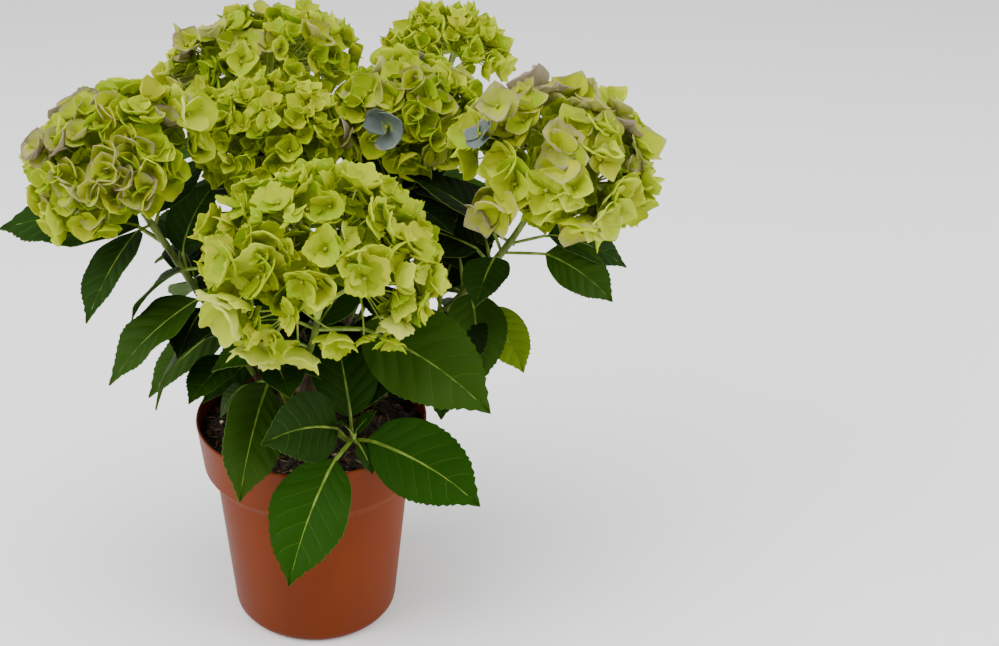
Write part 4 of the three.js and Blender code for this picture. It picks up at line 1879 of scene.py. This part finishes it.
@dataclass
class BloomKit:
    """The small shapes that every head is made from, and what gathers the stalks and buds of all heads."""

    sepals: dict[SepalStyle, Pattern]
    ray: Pattern = field(default_factory=lambda: sleeve(6, 6))
    stalk: Pattern = field(default_factory=lambda: sleeve(4, 4))
    bud: Pattern = field(default_factory=lump)
    stalks: Gathering = field(default_factory=Gathering)
    buds: Gathering = field(default_factory=Gathering)


@dataclass
class Bloom:
    """A flower head: florets of four sepals over a dome, each on a thin stalk from the head's rays."""

    shoot: Shoot
    look: HeadLook
    number: int
    first_seed: int = 100
    rays: int = 8
    ray_reach: float = 0.42
    ray_fan: float = 1.15
    ray_radius: float = 1.7
    ray_taper: float = 0.8
    stalk_radius: float = 0.62
    stalk_taper: float = 0.2
    turn_jitter: float = 0.35
    inset: float = 0.14
    floret_depth: float = 0.38
    inner_share: float = 0.27
    inner_depth: float = 0.16
    top_from: float = 0.55
    sway: float = 0.6
    opening: float = 0.55
    sepal_count: int = 4
    sepal_lengths: tuple[float, float] = (0.8, 1.14)
    sepal_curls: tuple[float, float] = (0.4, 1.5)
    sepal_waves: tuple[float, float] = (0.02, 0.13)
    sepal_rises: tuple[float, float] = (-3, 5)
    rise_spread: float = 9
    turn_spread: float = 0.1
    twist_spread: float = 0.2
    overlap: float = 0.35
    bud_size: float = 0.085
    bud_height: float = 0.09
    swap_shares: Triple = (0.5, 0.28, 0.22)
    plain_edge_share: float = 0.5
    plain_blade_share: float = 0.3

    def florets(self, random: np.random.Generator) -> list[Floret]:
        """Spreads the florets over the dome by the golden angle, and adds the listed ones.

        Args:
            random: the head's own random numbers.

        Returns:
            The florets.
        """
        head, look = self.shoot.head, self.look
        basis = np.stack(head.frame())
        half = np.array(head.half) * look.spread
        centre = np.array(head.centre) + look.shift
        lowest = math.cos(math.radians(look.lowest))
        found = []
        for i in range(look.florets):
            up = 1 - (i + 0.5) / look.florets * (1 - lowest)
            ring = math.sqrt(1 - up * up)
            turn = i * GOLDEN_ANGLE + random.random() * self.turn_jitter
            across = np.array([ring * math.cos(turn), ring * math.sin(turn), up])
            offset = (half * across) @ basis
            outward = unit((across / half) @ basis)
            radius = look.radius * random.uniform(*look.sizes)
            inner = random.random() < self.inner_share
            reach = 1 - self.inset * random.random() ** 1.5
            reach -= self.floret_depth * radius / np.linalg.norm(offset)
            reach -= self.inner_depth if inner else 0
            if look.is_gap(outward):
                continue
            mood = self.mood(random, up)
            # An inner floret wears Mood.SHADED, a painted shade for its place deep in the head.
            found.append(Floret(centre + offset * reach, outward, radius, Mood.SHADED if inner else mood))
        return found + [extra.floret(centre) for extra in look.extras]

    def mood(self, random: np.random.Generator, up: float) -> Mood:
        """Deals a floret its mood.

        Args:
            random: the head's random numbers.
            up: how high the floret stands on the dome, 1 at its top.

        Returns:
            The mood.
        """
        table = self.look.top_moods if self.look.top_moods and up > self.top_from else self.look.moods
        weights = np.array(list(table.values()))
        return list(table)[random.choice(len(weights), p=weights / weights.sum())]

    def add_rays(self, kit: BloomKit) -> Array:
        """Adds the rays that branch inside the head from the tip of its shoot.

        Args:
            kit: takes the rays.

        Returns:
            The rays' ends.
        """
        head = self.shoot.head
        side, depth, axis = head.frame()
        centre = np.array(head.centre)
        foot = centre - axis * head.half[2] * self.shoot.stalk
        ends = []
        for ray in range(self.rays):
            turn = ray * GOLDEN_ANGLE
            tilt = math.acos(1 - (ray + 0.5) / self.rays * self.ray_fan)
            way = math.sin(tilt) * (math.cos(turn) * side + math.sin(turn) * depth) + math.cos(tilt) * axis
            ends.append(centre + way * np.array(head.half).mean() * self.ray_reach)
            path = Path.bezier([foot, foot + axis * 14, ends[-1]], 10)
            tube = wrapped(kit.ray, path, lambda share: self.ray_radius - self.ray_taper * share)
            kit.stalks.add(tube, kit.ray)
        return np.array(ends)

    def add_floret(
        self, floret: Floret, ends: Array, random: np.random.Generator, kit: BloomKit, sepals: Gathering
    ) -> None:
        """Adds a floret with its stalk and its bud.

        Args:
            floret: the floret.
            ends: the rays' ends, the nearest of which its stalk grows from.
            random: the head's random numbers.
            kit: gives the small shapes and takes the stalk and the bud.
            sepals: takes the sepals.
        """
        middle, outward = floret.centre, floret.outward
        form, shape = self.look.style.value, kit.sepals[self.look.style]
        facing = unit(outward + random.normal(0, 1, 3) * math.radians(self.look.ruffle) * self.sway)
        near = ends[np.argmin(np.linalg.norm(ends - middle, axis=1))]
        path = Path.bezier([near, (near + middle) / 2 + outward * 2, middle - facing * 0.6], 8)
        tube = wrapped(kit.stalk, path, lambda share: self.stalk_radius - self.stalk_taper * share)
        kit.stalks.add(tube, kit.stalk)
        x_axis = unit(np.cross(facing, [0.3, 0.9, 0.2]))
        basis = np.stack([x_axis, np.cross(facing, x_axis), facing])
        spin = random.random() * math.pi
        open_by = random.uniform(-self.opening, self.opening) * self.look.ruffle
        for number in range(self.sepal_count):
            is_upper = number % 2
            length = floret.radius * random.uniform(*self.sepal_lengths)
            rise = open_by + random.normal(0, self.rise_spread) + self.sepal_rises[is_upper]
            wave = (random.uniform(*self.sepal_waves), random.random() * FULL_TURN)
            points = form.bent(shape, length, rise, form.curl * random.uniform(*self.sepal_curls), wave)
            turn = spin + number * FULL_TURN / self.sepal_count + random.normal(0, self.turn_spread)
            twist = random.normal(0, self.twist_spread)
            turned = Matrix.Rotation(turn, 3, "Z") @ Matrix.Rotation(twist, 3, "X")
            points = points @ np.array(turned).T + [0, 0, self.overlap * is_upper]
            palette = self.shuffled(random, floret.mood)
            sepals.add(middle + points @ basis, shape, palette)
        bud = kit.bud.points * (self.bud_size * floret.radius) + [0, 0, self.bud_height * floret.radius]
        kit.buds.add(middle + bud @ basis, kit.bud)

    def shuffled(self, random: np.random.Generator, mood: Mood) -> tuple[int, ...]:
        """A sepal's palette: its floret's, now and then greener or more golden, or with a plainer edge.

        Args:
            random: the head's random numbers.
            mood: the floret's mood.

        Returns:
            The tint of each zone of the sepal.
        """
        swaps = random.choice(len(TINT_SWAPS), p=self.swap_shares)
        heart, inner, outer, edge, back = (TINT_SWAPS[swaps].get(tint, tint) for tint in mood.value)
        if random.random() < self.plain_edge_share:
            edge = outer
        if random.random() < self.plain_blade_share:
            outer = inner
        return heart, inner, outer, edge, back

    def build(self, kit: BloomKit) -> Gathering:
        """Gathers the head's florets.

        Args:
            kit: gives the small shapes and takes the stalks and the buds.

        Returns:
            The head's sepals.
        """
        random = np.random.default_rng(self.first_seed + self.number)
        sepals = Gathering()
        ends = self.add_rays(kit)
        for floret in self.florets(random):
            self.add_floret(floret, ends, random, kit, sepals)
        return sepals


def build_blooms() -> list[Piece]:
    """Builds every flower head.

    Returns:
        The sepals of each head, and the stalks and buds of all of them.
    """
    kit = BloomKit({style: style.value.pattern() for style in SepalStyle})
    tints = sepal_materials()
    made, nodes = [], []
    for number, shoot in enumerate(s for s in SHOOTS if s.head):
        sepals = Bloom(shoot, HEAD_LOOKS[shoot.name], number).build(kit)
        nodes.append(f"bloom_{shoot.name}")
        made.append(place(sepals.built(f"sepals_{shoot.name}", tints, crease=75), "blossom", nodes[-1]))
    made.append(place(kit.stalks.built("flower_stalks", [FLOWER_STALK.material()]), "stem", *nodes))
    made.append(place(kit.buds.built("flower_buds", [BUD.material()]), "blossom", *nodes))
    return made


# ---------------------------------------------------------------- studio


@dataclass(frozen=True)
class SoftLight:
    """A large square area light aimed at a point on the plant."""

    name: str
    place: Triple
    aim: Triple
    size: float
    power: float
    colour: Triple = (1, 1, 1)

    def build(self) -> None:
        """Hangs the light."""
        data = bpy.data.lights.new(self.name, "AREA")
        data.shape = "SQUARE"
        data.size = self.size
        data.energy = self.power
        data.color = self.colour
        lamp = bpy.data.objects.new(self.name, data)
        lamp.location = self.place
        way = Vector(self.aim) - Vector(self.place)
        lamp.rotation_euler = way.to_track_quat("-Z", "Y").to_euler()
        bpy.context.scene.collection.objects.link(lamp)


@dataclass(frozen=True)
class Studio:
    """The camera, the pale floor and the soft light."""

    distance: float = 0.750
    height: float = 0.583
    pitch: float = 27.2
    yaw: float = 0.78
    roll: float = -1.28
    focal_pixels: float = 1435
    width_pixels: float = 999
    height_pixels: float = 646
    centre_pixels: tuple[float, float] = (326, 322)
    sensor: float = 36
    floor_size: float = 9
    floor_greys: tuple[float, float] = (0.94, 0.97)
    room_light: float = 0.69
    lights: tuple[SoftLight, ...] = (
        SoftLight("key", (-1.6, -0.7, 1.4), (0, 0, 0.2), 1.5, 47),
        SoftLight("fill", (1.7, -0.5, 0.9), (0, 0, 0.18), 1.5, 33),
        SoftLight("top", (-0.1, -0.3, 2.2), (0, 0, 0.25), 1.8, 47),
    )

    def camera(self) -> None:
        """Sets the camera, its view shifted so that the plant stands left of the frame's middle."""
        pitch, yaw, roll = (math.radians(angle) for angle in (self.pitch, self.yaw, self.roll))
        forward = Vector((
            math.sin(yaw) * math.cos(pitch), math.cos(yaw) * math.cos(pitch), -math.sin(pitch)
        ))
        right = Vector((math.cos(yaw), -math.sin(yaw), 0))
        up = right.cross(forward)
        right, up = (
            right * math.cos(roll) + up * math.sin(roll),
            up * math.cos(roll) - right * math.sin(roll),
        )
        data = bpy.data.cameras.new("camera")
        data.sensor_width = self.sensor
        data.lens = self.sensor * self.focal_pixels / self.width_pixels
        data.shift_x = (self.width_pixels / 2 - self.centre_pixels[0]) / self.width_pixels
        data.shift_y = (self.centre_pixels[1] - self.height_pixels / 2) / self.width_pixels
        camera = bpy.data.objects.new("camera", data)
        camera.matrix_world = (
            Matrix.Translation((0, -self.distance, self.height))
            @ Matrix((right, up, -forward)).transposed().to_4x4()
        )
        bpy.context.scene.collection.objects.link(camera)
        bpy.context.scene.camera = camera

    def floor(self) -> None:
        """Lays the pale floor."""
        mesh = bmesh.new()
        bmesh.ops.create_grid(mesh, x_segments=1, y_segments=1, size=self.floor_size / 2 / MM)
        nodes = Nodes("pale_floor")
        shader = nodes.add("BsdfPrincipled", Roughness=0.7)
        tone = nodes.noise(nodes.places(), 0.6, 2)
        greys = [(at, (grey, grey, grey, 1)) for at, grey in zip((0.3, 0.7), self.floor_greys)]
        nodes.colour(shader, tone, greys)
        written("floor", mesh, [nodes.done(shader.outputs["BSDF"])])

    def sky(self) -> None:
        """Fills the room with an even white light."""
        world = bpy.data.worlds.new("room")
        world.use_nodes = True
        back = world.node_tree.nodes["Background"]
        back.inputs["Color"].default_value = (1, 1, 1, 1)
        back.inputs["Strength"].default_value = self.room_light
        bpy.context.scene.world = world

    def build(self) -> None:
        """Sets up the whole studio."""
        self.camera()
        self.floor()
        self.sky()
        for light in self.lights:
            light.build()


def main() -> None:
    """Builds the plant's sub-assemblies in order, from the pot up."""
    Studio().build()
    pot = Pot()
    pot.build()
    Soil(pot).build()
    bark = [BARK.material()]
    trunk = Trunk()
    trunk.build(bark)
    limbs = Limbs(trunk)
    limbs.boughs(bark)
    Foliage(trunk, limbs).build()
    build_blooms()


if __name__ == "__main__":
    logging.basicConfig(level=logging.INFO, format="%(message)s")
    main()
